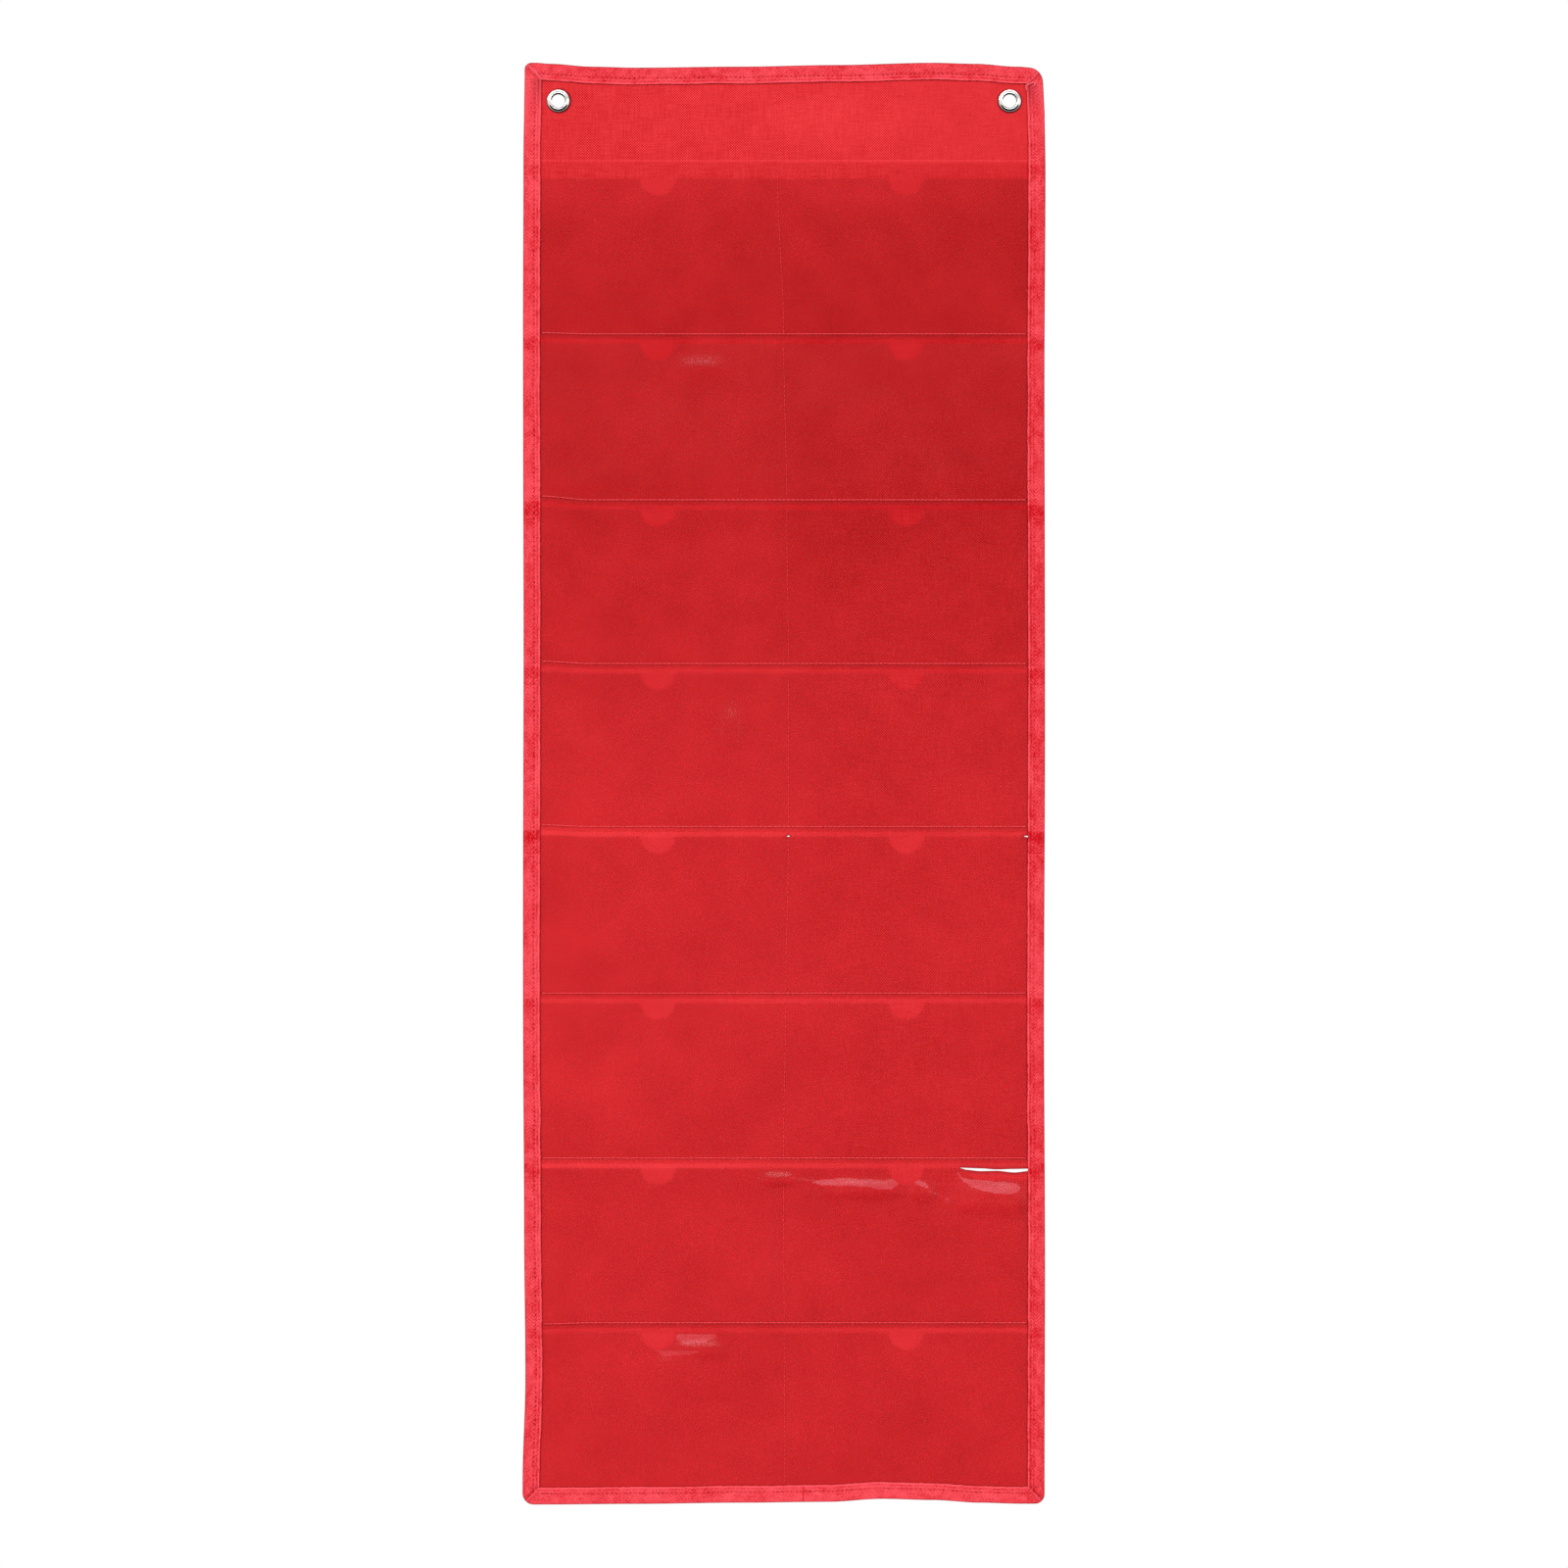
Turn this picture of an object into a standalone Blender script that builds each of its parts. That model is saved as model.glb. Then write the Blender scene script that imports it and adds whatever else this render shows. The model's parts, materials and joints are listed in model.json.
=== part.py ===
# Hanging pocket chart: a cloth header with two eyelets over eight rows of clear film pockets,
# with a woven tape folded round every edge. It folds up along a crease at the top of every row.
# The front faces -Y and the chart hangs down -Z from the middle point between its two eyelets.

from math import asin, cos, pi, prod, radians, sin

import bmesh
import bpy
from mathutils import Vector

# Counts and angles
row_count = 8
column_count = 2
hang_angle = radians(1.5)  # how far the old creases keep each row off plumb, by turns back and front
round_steps = 32
corner_steps = 6
notch_steps = 18
tape_round_steps = 8
dome_steps = 8
ramp_steps = 3

# Chart, in metres
chart_width = 0.351
header_height = 0.0672  # top edge down to the crease under the header
lead_height = 0.0099  # bare cloth from that crease down to row 1's film
pocket_height = 0.1046  # a film's top edge down to the seam under its pockets
band_height = 0.0064  # bare cloth from a seam down to the next film
fold_gap = 0.0006  # between the pieces on the two sides of a fold
fold_clearance = 0.0004  # from the tape's face out to the line that a fold turns about

# Cloth and film. The film lies on the cloth along its seams and stands off it over each pocket
cloth_thickness = 0.0005
film_thickness = 0.00025
seam_gap = 0.00025  # between cloth and film along a seam
seam_land = 0.0015  # film that lies flat beside a seam
pocket_rise = 0.0005  # further off the cloth, over a pocket
pocket_ramp = 0.006  # width of the slope from a seam up to its pocket
hem_height = 0.0015  # film below its seam

# Folded tape on the edges
tape_width = 0.0112
tape_thickness = 0.0005
tape_clearance = 0.00025
stitch_inset = 0.0073  # outer edge in to the stitch line
stitch_groove_width = 0.0009
stitch_groove_depth = 0.00018
lap_offset = 0.0257  # from the middle to the lapped end on the bottom edge
lap_length = 0.012
lap_ramp = 0.0008
top_left_radius = 0.0045
top_right_radius = 0.0095
bottom_left_radius = 0.0075
bottom_right_radius = 0.0065

# Thumb notches in the film
notch_width = 0.0238
notch_depth = 0.0112
left_notch_shift = 0.003  # how far outside its pocket's middle the left column's notch is cut

# Eyelets
eyelet_side_gap = 0.0043  # bare cloth between an eyelet's flange and the tape beside it
eyelet_top_gap = 0.0058  # bare cloth between an eyelet's flange and the tape above it
eyelet_hole_diameter = 0.0099
eyelet_flange_diameter = 0.016
eyelet_wall = 0.0004
eyelet_rise = 0.001
eyelet_roll_width = 0.0013
eyelet_roll_height = 0.0005
eyelet_clearance = 0.00025
washer_thickness = 0.0004
washer_dish_depth = 0.00012  # the hollow that the barrel's roll seats in
washer_ring_width = 0.00138  # from the hollow out to the washer's edge
washer_edge_round = 0.0002

# Shared small values
cut_overrun = 0.001
weld_distance = 0.00001

# Depths from the middle of the cloth, the front being negative
cloth_front = -cloth_thickness / 2
cloth_back = cloth_thickness / 2
film_back = cloth_front - seam_gap
film_front = film_back - film_thickness
channel_front = film_front - tape_clearance
channel_back = cloth_back + tape_clearance
tape_front = channel_front - tape_thickness
tape_back = channel_back + tape_thickness
tape_middle = (tape_front + tape_back) / 2
tape_half_depth = (tape_back - tape_front) / 2
edge_inset = tape_half_depth  # how far inside the outer edge the cloth and film stop, in the tape's fold

# Places, from the middle point between the eyelets, with the chart pulled straight
half_width = chart_width / 2
eyelet_reach = half_width - tape_width - eyelet_side_gap - eyelet_flange_diameter / 2
top_edge = tape_width + eyelet_top_gap + eyelet_flange_diameter / 2
first_film_top = top_edge - header_height - lead_height
row_pitch = pocket_height + band_height
bottom_edge = first_film_top - (row_count - 1) * row_pitch - pocket_height - tape_width
pocket_width = (chart_width - 2 * tape_width) / column_count

barrel_inner_radius = eyelet_hole_diameter / 2
barrel_outer_radius = barrel_inner_radius + eyelet_wall
washer_dish_radius = barrel_inner_radius + eyelet_roll_width + eyelet_clearance
washer_front = cloth_back + eyelet_clearance
washer_back = washer_front + washer_thickness


def film_top(row):
    """Height of the top edge of a row's film."""
    return first_film_top - (row - 1) * row_pitch


def fold_height(row):
    """Height of the fold over a row."""
    if row == 1:
        return top_edge - header_height
    return film_top(row)


def folds_back(row):
    """True where the fold over this row closes towards the back."""
    return row % 2 == 1


def fold_line(row):
    """A point on the line that the fold over a row turns about, with the chart pulled straight."""
    if row == 0:
        return Vector((0, 0, 0))
    depth = tape_back + fold_clearance if folds_back(row) else tape_front - fold_clearance
    return Vector((0, depth, fold_height(row)))


def seam_height(row):
    """Height of the seam that closes the bottom of a row's pockets."""
    return film_top(row) - pocket_height


def seam_places():
    """The lines that close the pockets' sides: one at each tape, one between two columns."""
    return [column * pocket_width + tape_width - half_width for column in range(column_count + 1)]


def row_ends(row):
    """The top and bottom of a row's pieces."""
    top = fold_height(row) - fold_gap / 2
    bottom = bottom_edge if row == row_count else fold_height(row + 1) + fold_gap / 2
    return top, bottom


def arc(centre_x, centre_z, radius, start, end, steps):
    """Points along an arc, or the centre alone where it has no radius."""
    if radius <= 0:
        return [(centre_x, centre_z)]
    angles = [start + (end - start) * step / steps for step in range(steps + 1)]
    return [(centre_x + radius * cos(angle), centre_z + radius * sin(angle)) for angle in angles]


def inset_radius(radius):
    """The corner radius of a sheet that lies inside the tape's fold."""
    return max(radius - edge_inset, 0)


def notch_arc(centre_x, top):
    """A thumb notch's edge from right to left, hanging from the film's top edge."""
    radius = (notch_width**2 / 4 + notch_depth**2) / (2 * notch_depth)
    centre_z = top - notch_depth + radius
    spread = asin(min(notch_width / 2 / radius, 1))
    if notch_depth > radius:
        spread = pi - spread
    return arc(centre_x, centre_z, radius, -pi / 2 + spread, -pi / 2 - spread, notch_steps)


def notch_centres():
    """The middle of each column's pocket, with the left column's notch a little outside it."""
    seams = seam_places()
    centres = [(left + right) / 2 for left, right in zip(seams, seams[1:])]
    centres[0] -= left_notch_shift
    return centres


def sheet_outline(bottom, top, bottom_radii=(0, 0), top_radii=(0, 0), notches=()):
    """A sheet's outline as seen from the front, starting at its bottom left corner."""
    side = half_width - edge_inset
    left_radius, right_radius = bottom_radii
    points = arc(-side + left_radius, bottom + left_radius, left_radius, -pi, -pi / 2, corner_steps)
    points += arc(side - right_radius, bottom + right_radius, right_radius, -pi / 2, 0, corner_steps)
    left_radius, right_radius = top_radii
    points += arc(side - right_radius, top - right_radius, right_radius, 0, pi / 2, corner_steps)
    for centre in sorted(notches, reverse=True):
        points += notch_arc(centre, top)
    points += arc(-side + left_radius, top - left_radius, left_radius, pi / 2, pi, corner_steps)
    return points


def plate(outline, front, back):
    """A flat sheet: the outline drawn at its front face and extruded to its back face."""
    bm = bmesh.new()
    face = bm.faces.new([bm.verts.new((x, front, z)) for x, z in outline])
    extruded = bmesh.ops.extrude_face_region(bm, geom=[face])
    moved = [item for item in extruded["geom"] if isinstance(item, bmesh.types.BMVert)]
    bmesh.ops.translate(bm, verts=moved, vec=(0, back - front, 0))
    return bm


def tape_profile(lap=0.0):
    """The folded tape's section as (distance in from the outer edge, depth). lap thickens its outside."""
    front = tape_front - lap
    back = tape_back + lap
    groove = stitch_groove_width / 2
    inner_half = tape_half_depth - tape_thickness
    points = [(tape_width, back)]
    points += [
        (stitch_inset + groove, back),
        (stitch_inset, back - stitch_groove_depth),
        (stitch_inset - groove, back),
    ]
    for step in range(tape_round_steps + 1):
        angle = pi / 2 - pi * step / tape_round_steps
        depth = tape_middle + (tape_half_depth + lap) * sin(angle)
        points.append((tape_half_depth * (1 - cos(angle)), depth))
    points += [
        (stitch_inset - groove, front),
        (stitch_inset, front + stitch_groove_depth),
        (stitch_inset + groove, front),
        (tape_width, front),
        (tape_width, channel_front),
    ]
    for step in range(tape_round_steps + 1):
        angle = -pi / 2 + pi * step / tape_round_steps
        depth = tape_middle + inner_half * sin(angle)
        points.append((tape_half_depth - inner_half * cos(angle), depth))
    points.append((tape_width, channel_back))
    return points


def side_station(side, height, lap=0.0):
    """The tape's section across a side edge, at a height."""
    return [(side * (half_width - inset), depth, height) for inset, depth in tape_profile(lap)]


def edge_station(place, edge, inward, lap=0.0):
    """The tape's section across the top or bottom edge, at a place along it."""
    return [(place, depth, edge + inward * inset) for inset, depth in tape_profile(lap)]


def corner_stations(side, edge, inward, radius):
    """Sections round a corner, from the side to the edge: rounded outside, mitred inside."""
    stations = []
    for step in range(corner_steps + 1):
        angle = pi / 2 * step / corner_steps
        section = []
        for inset, depth in tape_profile():
            pivot = max(radius, inset)
            reach = pivot - inset
            across = side * (half_width - pivot + reach * cos(angle))
            section.append((across, depth, edge + inward * (pivot - reach * sin(angle))))
        stations.append(section)
    return stations


def sweep(stations):
    """A solid run through the sections, by extruding its end face from each section to the next."""
    bm = bmesh.new()
    face = bm.faces.new([bm.verts.new(point) for point in stations[0]])
    for station in stations[1:]:
        extruded = bmesh.ops.extrude_face_region(bm, geom=[face, *face.edges])
        face = next(item for item in extruded["geom"] if isinstance(item, bmesh.types.BMFace))
        for vert, point in zip(face.verts, station):
            vert.co = point
    bmesh.ops.remove_doubles(bm, verts=bm.verts, dist=weld_distance)
    return bm


def header_tape():
    """The tape up the left side, across the top and down the right side of the header."""
    end = fold_height(1) + fold_gap / 2
    stations = [side_station(-1, end)]
    stations += corner_stations(-1, top_edge, -1, top_left_radius)
    stations += reversed(corner_stations(1, top_edge, -1, top_right_radius))
    stations += [side_station(1, end)]
    return sweep(stations)


def side_tape(side, row):
    """The tape along one side of a row."""
    top, bottom = row_ends(row)
    return sweep([side_station(side, bottom), side_station(side, top)])


def foot_tape():
    """The tape down the last row's left side, across the bottom with its lapped end, and up the right."""
    top, _ = row_ends(row_count)
    stations = [side_station(-1, top)]
    stations += corner_stations(-1, bottom_edge, 1, bottom_left_radius)
    lap_start = lap_offset - lap_length
    stations += [
        edge_station(lap_start - lap_ramp, bottom_edge, 1),
        edge_station(lap_start, bottom_edge, 1, tape_thickness),
        edge_station(lap_offset, bottom_edge, 1, tape_thickness),
        edge_station(lap_offset + lap_ramp, bottom_edge, 1),
    ]
    stations += reversed(corner_stations(1, bottom_edge, 1, bottom_right_radius))
    stations += [side_station(1, top)]
    return sweep(stations)


def turned(profile, centre):
    """A ring turned from a closed section of (radius, depth) about a line through the chart."""
    bm = bmesh.new()
    verts = [bm.verts.new((centre.x + radius, depth, centre.z)) for radius, depth in profile]
    edges = [bm.edges.new((verts[index - 1], vert)) for index, vert in enumerate(verts)]
    bmesh.ops.spin(
        bm,
        geom=verts + edges,
        cent=centre,
        axis=(0, 1, 0),
        dvec=(0, 0, 0),
        angle=2 * pi,
        steps=round_steps,
        use_merge=True,
    )
    return bm


def eyelet_profile():
    """A barrel with a domed flange in front and its end rolled over behind the washer."""
    flange_radius = eyelet_flange_diameter / 2
    seat = cloth_front - eyelet_clearance
    roll_front = washer_back - washer_dish_depth + eyelet_clearance
    dome_middle = (barrel_inner_radius + flange_radius) / 2
    dome_half = (flange_radius - barrel_inner_radius) / 2
    points = [(barrel_outer_radius, seat), (flange_radius, seat)]
    for step in range(1, dome_steps):
        angle = pi * step / dome_steps
        points.append((dome_middle + dome_half * cos(angle), seat - eyelet_rise * sin(angle)))
    points += [(barrel_inner_radius, seat), (barrel_inner_radius, roll_front)]
    for step in range(1, dome_steps):
        angle = pi - pi * step / dome_steps
        middle = barrel_inner_radius + eyelet_roll_width / 2
        radius = middle + eyelet_roll_width / 2 * cos(angle)
        points.append((radius, roll_front + eyelet_roll_height * sin(angle)))
    points += [(barrel_inner_radius + eyelet_roll_width, roll_front), (barrel_outer_radius, roll_front)]
    return points


def washer_profile():
    """A ring round the barrel, its outer edge eased and its back dished for the barrel's roll."""
    inner = barrel_outer_radius + eyelet_clearance
    flat_start = washer_dish_radius + washer_dish_depth
    outer = flat_start + washer_ring_width
    dish_floor = washer_back - washer_dish_depth
    eased = [(outer, washer_back - washer_edge_round), (outer - washer_edge_round, washer_back)]
    dish = [(flat_start, washer_back), (washer_dish_radius, dish_floor), (inner, dish_floor)]
    return [(inner, washer_front), (outer, washer_front), *eased, *dish]


def eyelet_centres():
    """The eyelets' centres, which lie on one level."""
    return {"left": Vector((-eyelet_reach, 0, 0)), "right": Vector((eyelet_reach, 0, 0))}


def header_cloth():
    """The header's cloth, its top corners rounded inside the tape's fold."""
    radii = (inset_radius(top_left_radius), inset_radius(top_right_radius))
    outline = sheet_outline(fold_height(1) + fold_gap / 2, top_edge - edge_inset, top_radii=radii)
    return plate(outline, cloth_front, cloth_back)


def row_cloth(row):
    """A row's backing strip."""
    top, bottom = row_ends(row)
    radii = (0, 0)
    if row == row_count:
        bottom += edge_inset
        radii = (inset_radius(bottom_left_radius), inset_radius(bottom_right_radius))
    return plate(sheet_outline(bottom, top, bottom_radii=radii), cloth_front, cloth_back)


def ramp_places():
    """Distances from a seam at which the film's slope up to its pocket is cut."""
    return [seam_land + pocket_ramp * step / ramp_steps for step in range(ramp_steps + 1)]


def lift_share(distance):
    """How much of the pocket's rise the film has at a distance from a seam."""
    along = min(max((distance - seam_land) / pocket_ramp, 0), 1)
    return (1 - cos(pi * along)) / 2


def row_film(row):
    """A row's clear film: notched over each pocket, flat along its seams and raised between them."""
    top = film_top(row) - fold_gap / 2
    seam = seam_height(row)
    bottom = seam - hem_height
    radii = (0, 0)
    if row == row_count:
        bottom = bottom_edge + edge_inset
        radii = (inset_radius(bottom_left_radius), inset_radius(bottom_right_radius))
    outline = sheet_outline(bottom, top, bottom_radii=radii, notches=notch_centres())
    bm = bmesh.new()
    bm.faces.new([bm.verts.new((x, film_front, z)) for x, z in outline])
    cuts = [((0, 0, seam + place), (0, 0, 1)) for place in ramp_places()]
    for line in seam_places():
        cuts += [((line + side * place, 0, 0), (1, 0, 0)) for side in (-1, 1) for place in ramp_places()]
    for place, normal in cuts:
        everything = [*bm.verts, *bm.edges, *bm.faces]
        bmesh.ops.bisect_plane(bm, geom=everything, plane_co=place, plane_no=normal, dist=weld_distance)
    for vert in bm.verts:
        shares = [lift_share(abs(vert.co.x - line)) for line in seam_places()]
        shares.append(lift_share(vert.co.z - seam))
        within = abs(vert.co.x) < half_width - tape_width
        vert.co.y -= pocket_rise * prod(shares) if within else 0
    extruded = bmesh.ops.extrude_face_region(bm, geom=bm.faces[:])
    moved = [item for item in extruded["geom"] if isinstance(item, bmesh.types.BMVert)]
    bmesh.ops.translate(bm, verts=moved, vec=(0, film_thickness, 0))
    return bm


def material(name, colour, roughness, metallic=0.0, alpha=1.0):
    made = bpy.data.materials.new(name)
    made.use_nodes = True
    shader = made.node_tree.nodes["Principled BSDF"]
    shader.inputs["Base Color"].default_value = (*colour, 1.0)
    shader.inputs["Roughness"].default_value = roughness
    shader.inputs["Metallic"].default_value = metallic
    shader.inputs["Alpha"].default_value = alpha
    made.diffuse_color = (*colour, alpha)
    return made


def add_piece(name, bm, finish, folds, row=0):
    """Makes a mesh object of a piece, hung on its row's fold with its origin on the fold's line."""
    bmesh.ops.translate(bm, verts=bm.verts, vec=-fold_line(row))
    bmesh.ops.recalc_face_normals(bm, faces=bm.faces)
    mesh = bpy.data.meshes.new(name)
    bm.to_mesh(mesh)
    bm.free()
    mesh.materials.append(finish)
    mesh.shade_smooth()
    mesh.set_sharp_from_angle(angle=radians(32))
    piece = bpy.data.objects.new(name, mesh)
    bpy.context.scene.collection.objects.link(piece)
    if row:
        piece.parent = folds[row]
    return piece


def add_folds():
    """An empty on each fold's line, each hung from the one above and turned to its resting angle."""
    folds = {}
    for row in range(1, row_count + 1):
        fold = bpy.data.objects.new(f"fold_{row}", None)
        bpy.context.scene.collection.objects.link(fold)
        fold.parent = folds.get(row - 1)
        fold.location = fold_line(row) - fold_line(row - 1)
        turn = hang_angle if row == 1 else 2 * hang_angle
        fold.rotation_euler.x = turn if folds_back(row) else -turn
        folds[row] = fold
    return folds


def add_eyelet_holes(cloth):
    """Cuts the two holes that the eyelets' barrels pass through."""
    bm = bmesh.new()
    for centre in eyelet_centres().values():
        made = bmesh.ops.create_cone(
            bm,
            cap_ends=True,
            segments=round_steps,
            radius1=barrel_outer_radius + eyelet_clearance,
            radius2=barrel_outer_radius + eyelet_clearance,
            depth=cloth_thickness + 2 * cut_overrun,
        )
        turn = Vector((0, 0, 1)).rotation_difference(Vector((0, 1, 0))).to_matrix()
        bmesh.ops.rotate(bm, verts=made["verts"], matrix=turn)
        bmesh.ops.translate(bm, verts=made["verts"], vec=centre)
    bmesh.ops.recalc_face_normals(bm, faces=bm.faces)
    mesh = bpy.data.meshes.new("eyelet_hole_cutter")
    bm.to_mesh(mesh)
    bm.free()
    cutter = bpy.data.objects.new("eyelet_hole_cutter", mesh)
    bpy.context.scene.collection.objects.link(cutter)
    cutter.hide_render = True
    cutter.display_type = "WIRE"
    cut = cloth.modifiers.new("eyelet holes", "BOOLEAN")
    cut.operation = "DIFFERENCE"
    cut.solver = "EXACT"
    cut.object = cutter


def build():
    for old in list(bpy.data.objects):
        bpy.data.objects.remove(old)

    cloth = material("red cloth", (0.70, 0.035, 0.042), 0.85)
    tape = material("binding tape", (0.82, 0.055, 0.085), 0.8)
    film = material("clear film", (0.92, 0.93, 0.94), 0.12, alpha=0.25)
    nickel = material("nickel plate", (0.78, 0.77, 0.74), 0.18, metallic=1.0)

    folds = add_folds()
    add_eyelet_holes(add_piece("header_cloth", header_cloth(), cloth, folds))
    add_piece("header_tape", header_tape(), tape, folds)
    for side, centre in eyelet_centres().items():
        add_piece(f"{side}_eyelet", turned(eyelet_profile(), centre), nickel, folds)
        add_piece(f"{side}_eyelet_washer", turned(washer_profile(), centre), nickel, folds)
    for row in range(1, row_count + 1):
        add_piece(f"row_{row}_cloth", row_cloth(row), cloth, folds, row)
        add_piece(f"row_{row}_film", row_film(row), film, folds, row)
        if row < row_count:
            add_piece(f"row_{row}_left_tape", side_tape(-1, row), tape, folds, row)
            add_piece(f"row_{row}_right_tape", side_tape(1, row), tape, folds, row)
    add_piece(f"row_{row_count}_tape", foot_tape(), tape, folds, row_count)


build()
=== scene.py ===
# Looks of a hanging pocket chart: woven header and row backing, clear pocket film, folded binding
# tape, sewing thread and two nickel eyelets. Every soft piece is made with the chart pulled straight,
# then laid on the hanging shape that the frame holds.

import json
from collections import namedtuple
from functools import cache
from math import asin, cos, exp, hypot, pi, radians, sin

import bmesh
import bpy
from mathutils import Matrix, Vector, noise
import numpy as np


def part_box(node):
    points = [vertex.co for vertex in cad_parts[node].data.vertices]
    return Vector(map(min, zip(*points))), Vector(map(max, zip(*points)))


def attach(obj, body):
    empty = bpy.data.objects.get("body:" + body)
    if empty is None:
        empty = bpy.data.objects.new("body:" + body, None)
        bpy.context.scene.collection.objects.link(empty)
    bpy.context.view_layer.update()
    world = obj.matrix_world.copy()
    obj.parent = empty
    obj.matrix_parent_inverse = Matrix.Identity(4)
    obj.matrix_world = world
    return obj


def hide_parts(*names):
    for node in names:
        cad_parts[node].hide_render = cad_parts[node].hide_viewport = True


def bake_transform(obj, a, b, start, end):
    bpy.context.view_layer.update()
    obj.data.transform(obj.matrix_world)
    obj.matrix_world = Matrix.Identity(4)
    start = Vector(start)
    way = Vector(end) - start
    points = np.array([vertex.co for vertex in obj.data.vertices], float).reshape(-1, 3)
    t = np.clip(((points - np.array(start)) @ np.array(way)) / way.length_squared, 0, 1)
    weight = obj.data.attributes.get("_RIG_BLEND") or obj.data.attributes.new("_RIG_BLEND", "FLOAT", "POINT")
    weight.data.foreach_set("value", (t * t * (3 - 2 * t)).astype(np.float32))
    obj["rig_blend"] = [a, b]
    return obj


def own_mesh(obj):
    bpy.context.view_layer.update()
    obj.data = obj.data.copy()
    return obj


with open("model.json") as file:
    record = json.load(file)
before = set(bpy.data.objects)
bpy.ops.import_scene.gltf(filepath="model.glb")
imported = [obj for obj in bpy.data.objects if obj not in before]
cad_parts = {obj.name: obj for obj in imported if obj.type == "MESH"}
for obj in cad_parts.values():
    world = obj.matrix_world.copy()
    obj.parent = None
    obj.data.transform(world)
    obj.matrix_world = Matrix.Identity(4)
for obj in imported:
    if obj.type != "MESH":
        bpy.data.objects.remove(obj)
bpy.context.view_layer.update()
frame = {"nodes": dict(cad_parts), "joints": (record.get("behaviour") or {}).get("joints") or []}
joints = {int(joint["name"].split("_")[1]): joint for joint in frame["joints"]}

# The chart pulled straight, in metres from the middle point between its eyelets
row_count = len(joints)
half_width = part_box("header_tape")[1][0]
top_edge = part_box("header_tape")[1][2]
hang_angle = radians(1.5)
crease_height = -0.0422
first_film_top = -0.0521
row_pitch = 0.111
pocket_height = 0.1046
tape_width = 0.0112
bottom_edge = first_film_top - (row_count - 1) * row_pitch - pocket_height - tape_width
back_fold_depth = 0.0014
front_fold_depth = -0.0019
crease_reach = 0.003

# Thicknesses, and depths from the middle of the cloth, the front being negative
cloth_thickness = 0.0005
film_thickness = 0.0002
film_rest = -0.00063
pocket_rise = 0.0007
tape_thickness = 0.0005
tape_front = -0.0015
tape_back = 0.001
tape_middle = (tape_front + tape_back) / 2
mitre_rise = 0.00022

# The outline's corners, and where the sheets end inside it
sides = {"left": -1, "right": 1}
corner_radii = {("left", "top"): 0.0045, ("right", "top"): 0.0095,
                ("left", "bottom"): 0.0075, ("right", "bottom"): 0.0065}
sheet_inset = 0.00125
sheet_side = half_width - sheet_inset

# Cells of the meshes
cloth_cell = 0.003
film_cell = 0.003
tape_step = 0.001
corner_step = 0.0006
fold_steps = 8
cut_reach = 0.00001


def film_top(row):
    return first_film_top - (row - 1) * row_pitch


def fold_height(row):
    return crease_height if row == 1 else film_top(row)


def seam_height(row):
    return film_top(row) - pocket_height


def middle_height(row):
    """Half way down a row, or down the header for row 0."""
    below = bottom_edge if row == row_count else fold_height(row + 1)
    above = top_edge if row == 0 else fold_height(row)
    return (above + below) / 2


def body(row):
    return f"row_{row}" if row else "header"


def ease(share):
    """A smooth step from 0 to 1."""
    share = min(max(share, 0.0), 1.0)
    return share * share * (3 - 2 * share)


def between(value, low, high):
    """0 at low, 1 at high, eased."""
    return ease((value - low) / (high - low))


def hump(value, middle, reach):
    """1 at the middle, 0 at its reach and beyond."""
    return between(abs(value - middle), reach, 0.0)


def along(points, place):
    """A curve through listed (place, value) points, eased between them."""
    if place <= points[0][0]:
        return points[0][1]
    for (start, low), (end, high) in zip(points, points[1:]):
        if place <= end:
            return low + (high - low) * between(place, start, end)
    return points[-1][1]


def uneven(first, second, third):
    """Noise at a place, from -1 to 1."""
    return noise.noise(Vector((first, second, third)))


def metres(points):
    """Points whose numbers are given in millimetres."""
    return [tuple(value / 1000 for value in point) for point in points]


# How the sewn chart departs from true: its edges' waves and its lean from side to side
top_waves = metres([(-168, 0.7), (-158, 0), (-130, -1.9), (-100, -2.6), (-30, -1.9), (35, -0.8), (100, 0.7),
                    (130, 0), (158, -1.9), (170, -2.6)])
bottom_waves = metres([(-160, 0), (-100, 0.4), (-30, 1.2), (30, 1.8), (66, 3.8), (100, 3), (132, 1.2),
                       (160, 0.5)])
left_sway = metres([(-930, -0.6), (-860, 1.2), (-760, 0.4), (-600, -0.4), (-350, 0), (-150, -0.4), (-40, 0),
                    (20, 0.8)])
right_sway = metres([(-930, 0), (-800, 0.4), (-620, -0.3), (-400, 0.4), (-200, 0), (-50, 0.6), (0, 0),
                     (20, -1.2)])
row_drift = metres([(-330, 0), (-270, -0.9), (-200, 0)]), metres([(-550, 0), (-490, 1.2), (-430, 0)])
sway_reach = (0.1, 0.16)
lift_reach = (0.13, 0.164)
seam_lifts = {1: 0.0008, 2: 0.0026, 3: 0.0016, 4: 0.0012, 7: -0.0008}
drape_depth = 0.00018


def drape(x, height):
    """Slow waves in the cloth, still near the eyelets and under the tape."""
    freedom = between(-height, 0.015, 0.045) * between(abs(x), 0.165, 0.13)
    return drape_depth * uneven(x * 14, 0, height * 19) * freedom


@cache
def row_turn(row):
    return Matrix.Rotation(hang_angle if row % 2 else -hang_angle, 3, "X")


def on_row(row, x, depth, height):
    """Where a point of the straight chart hangs at rest if it belongs to this row, the header being 0."""
    if row == 0:
        return Vector((x, depth, height))
    fold_depth = back_fold_depth if row % 2 else front_fold_depth
    arm = Vector((x, depth - fold_depth, height - fold_height(row)))
    return Vector(joints[row]["pos_m"]) + row_turn(row) @ arm


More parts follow.
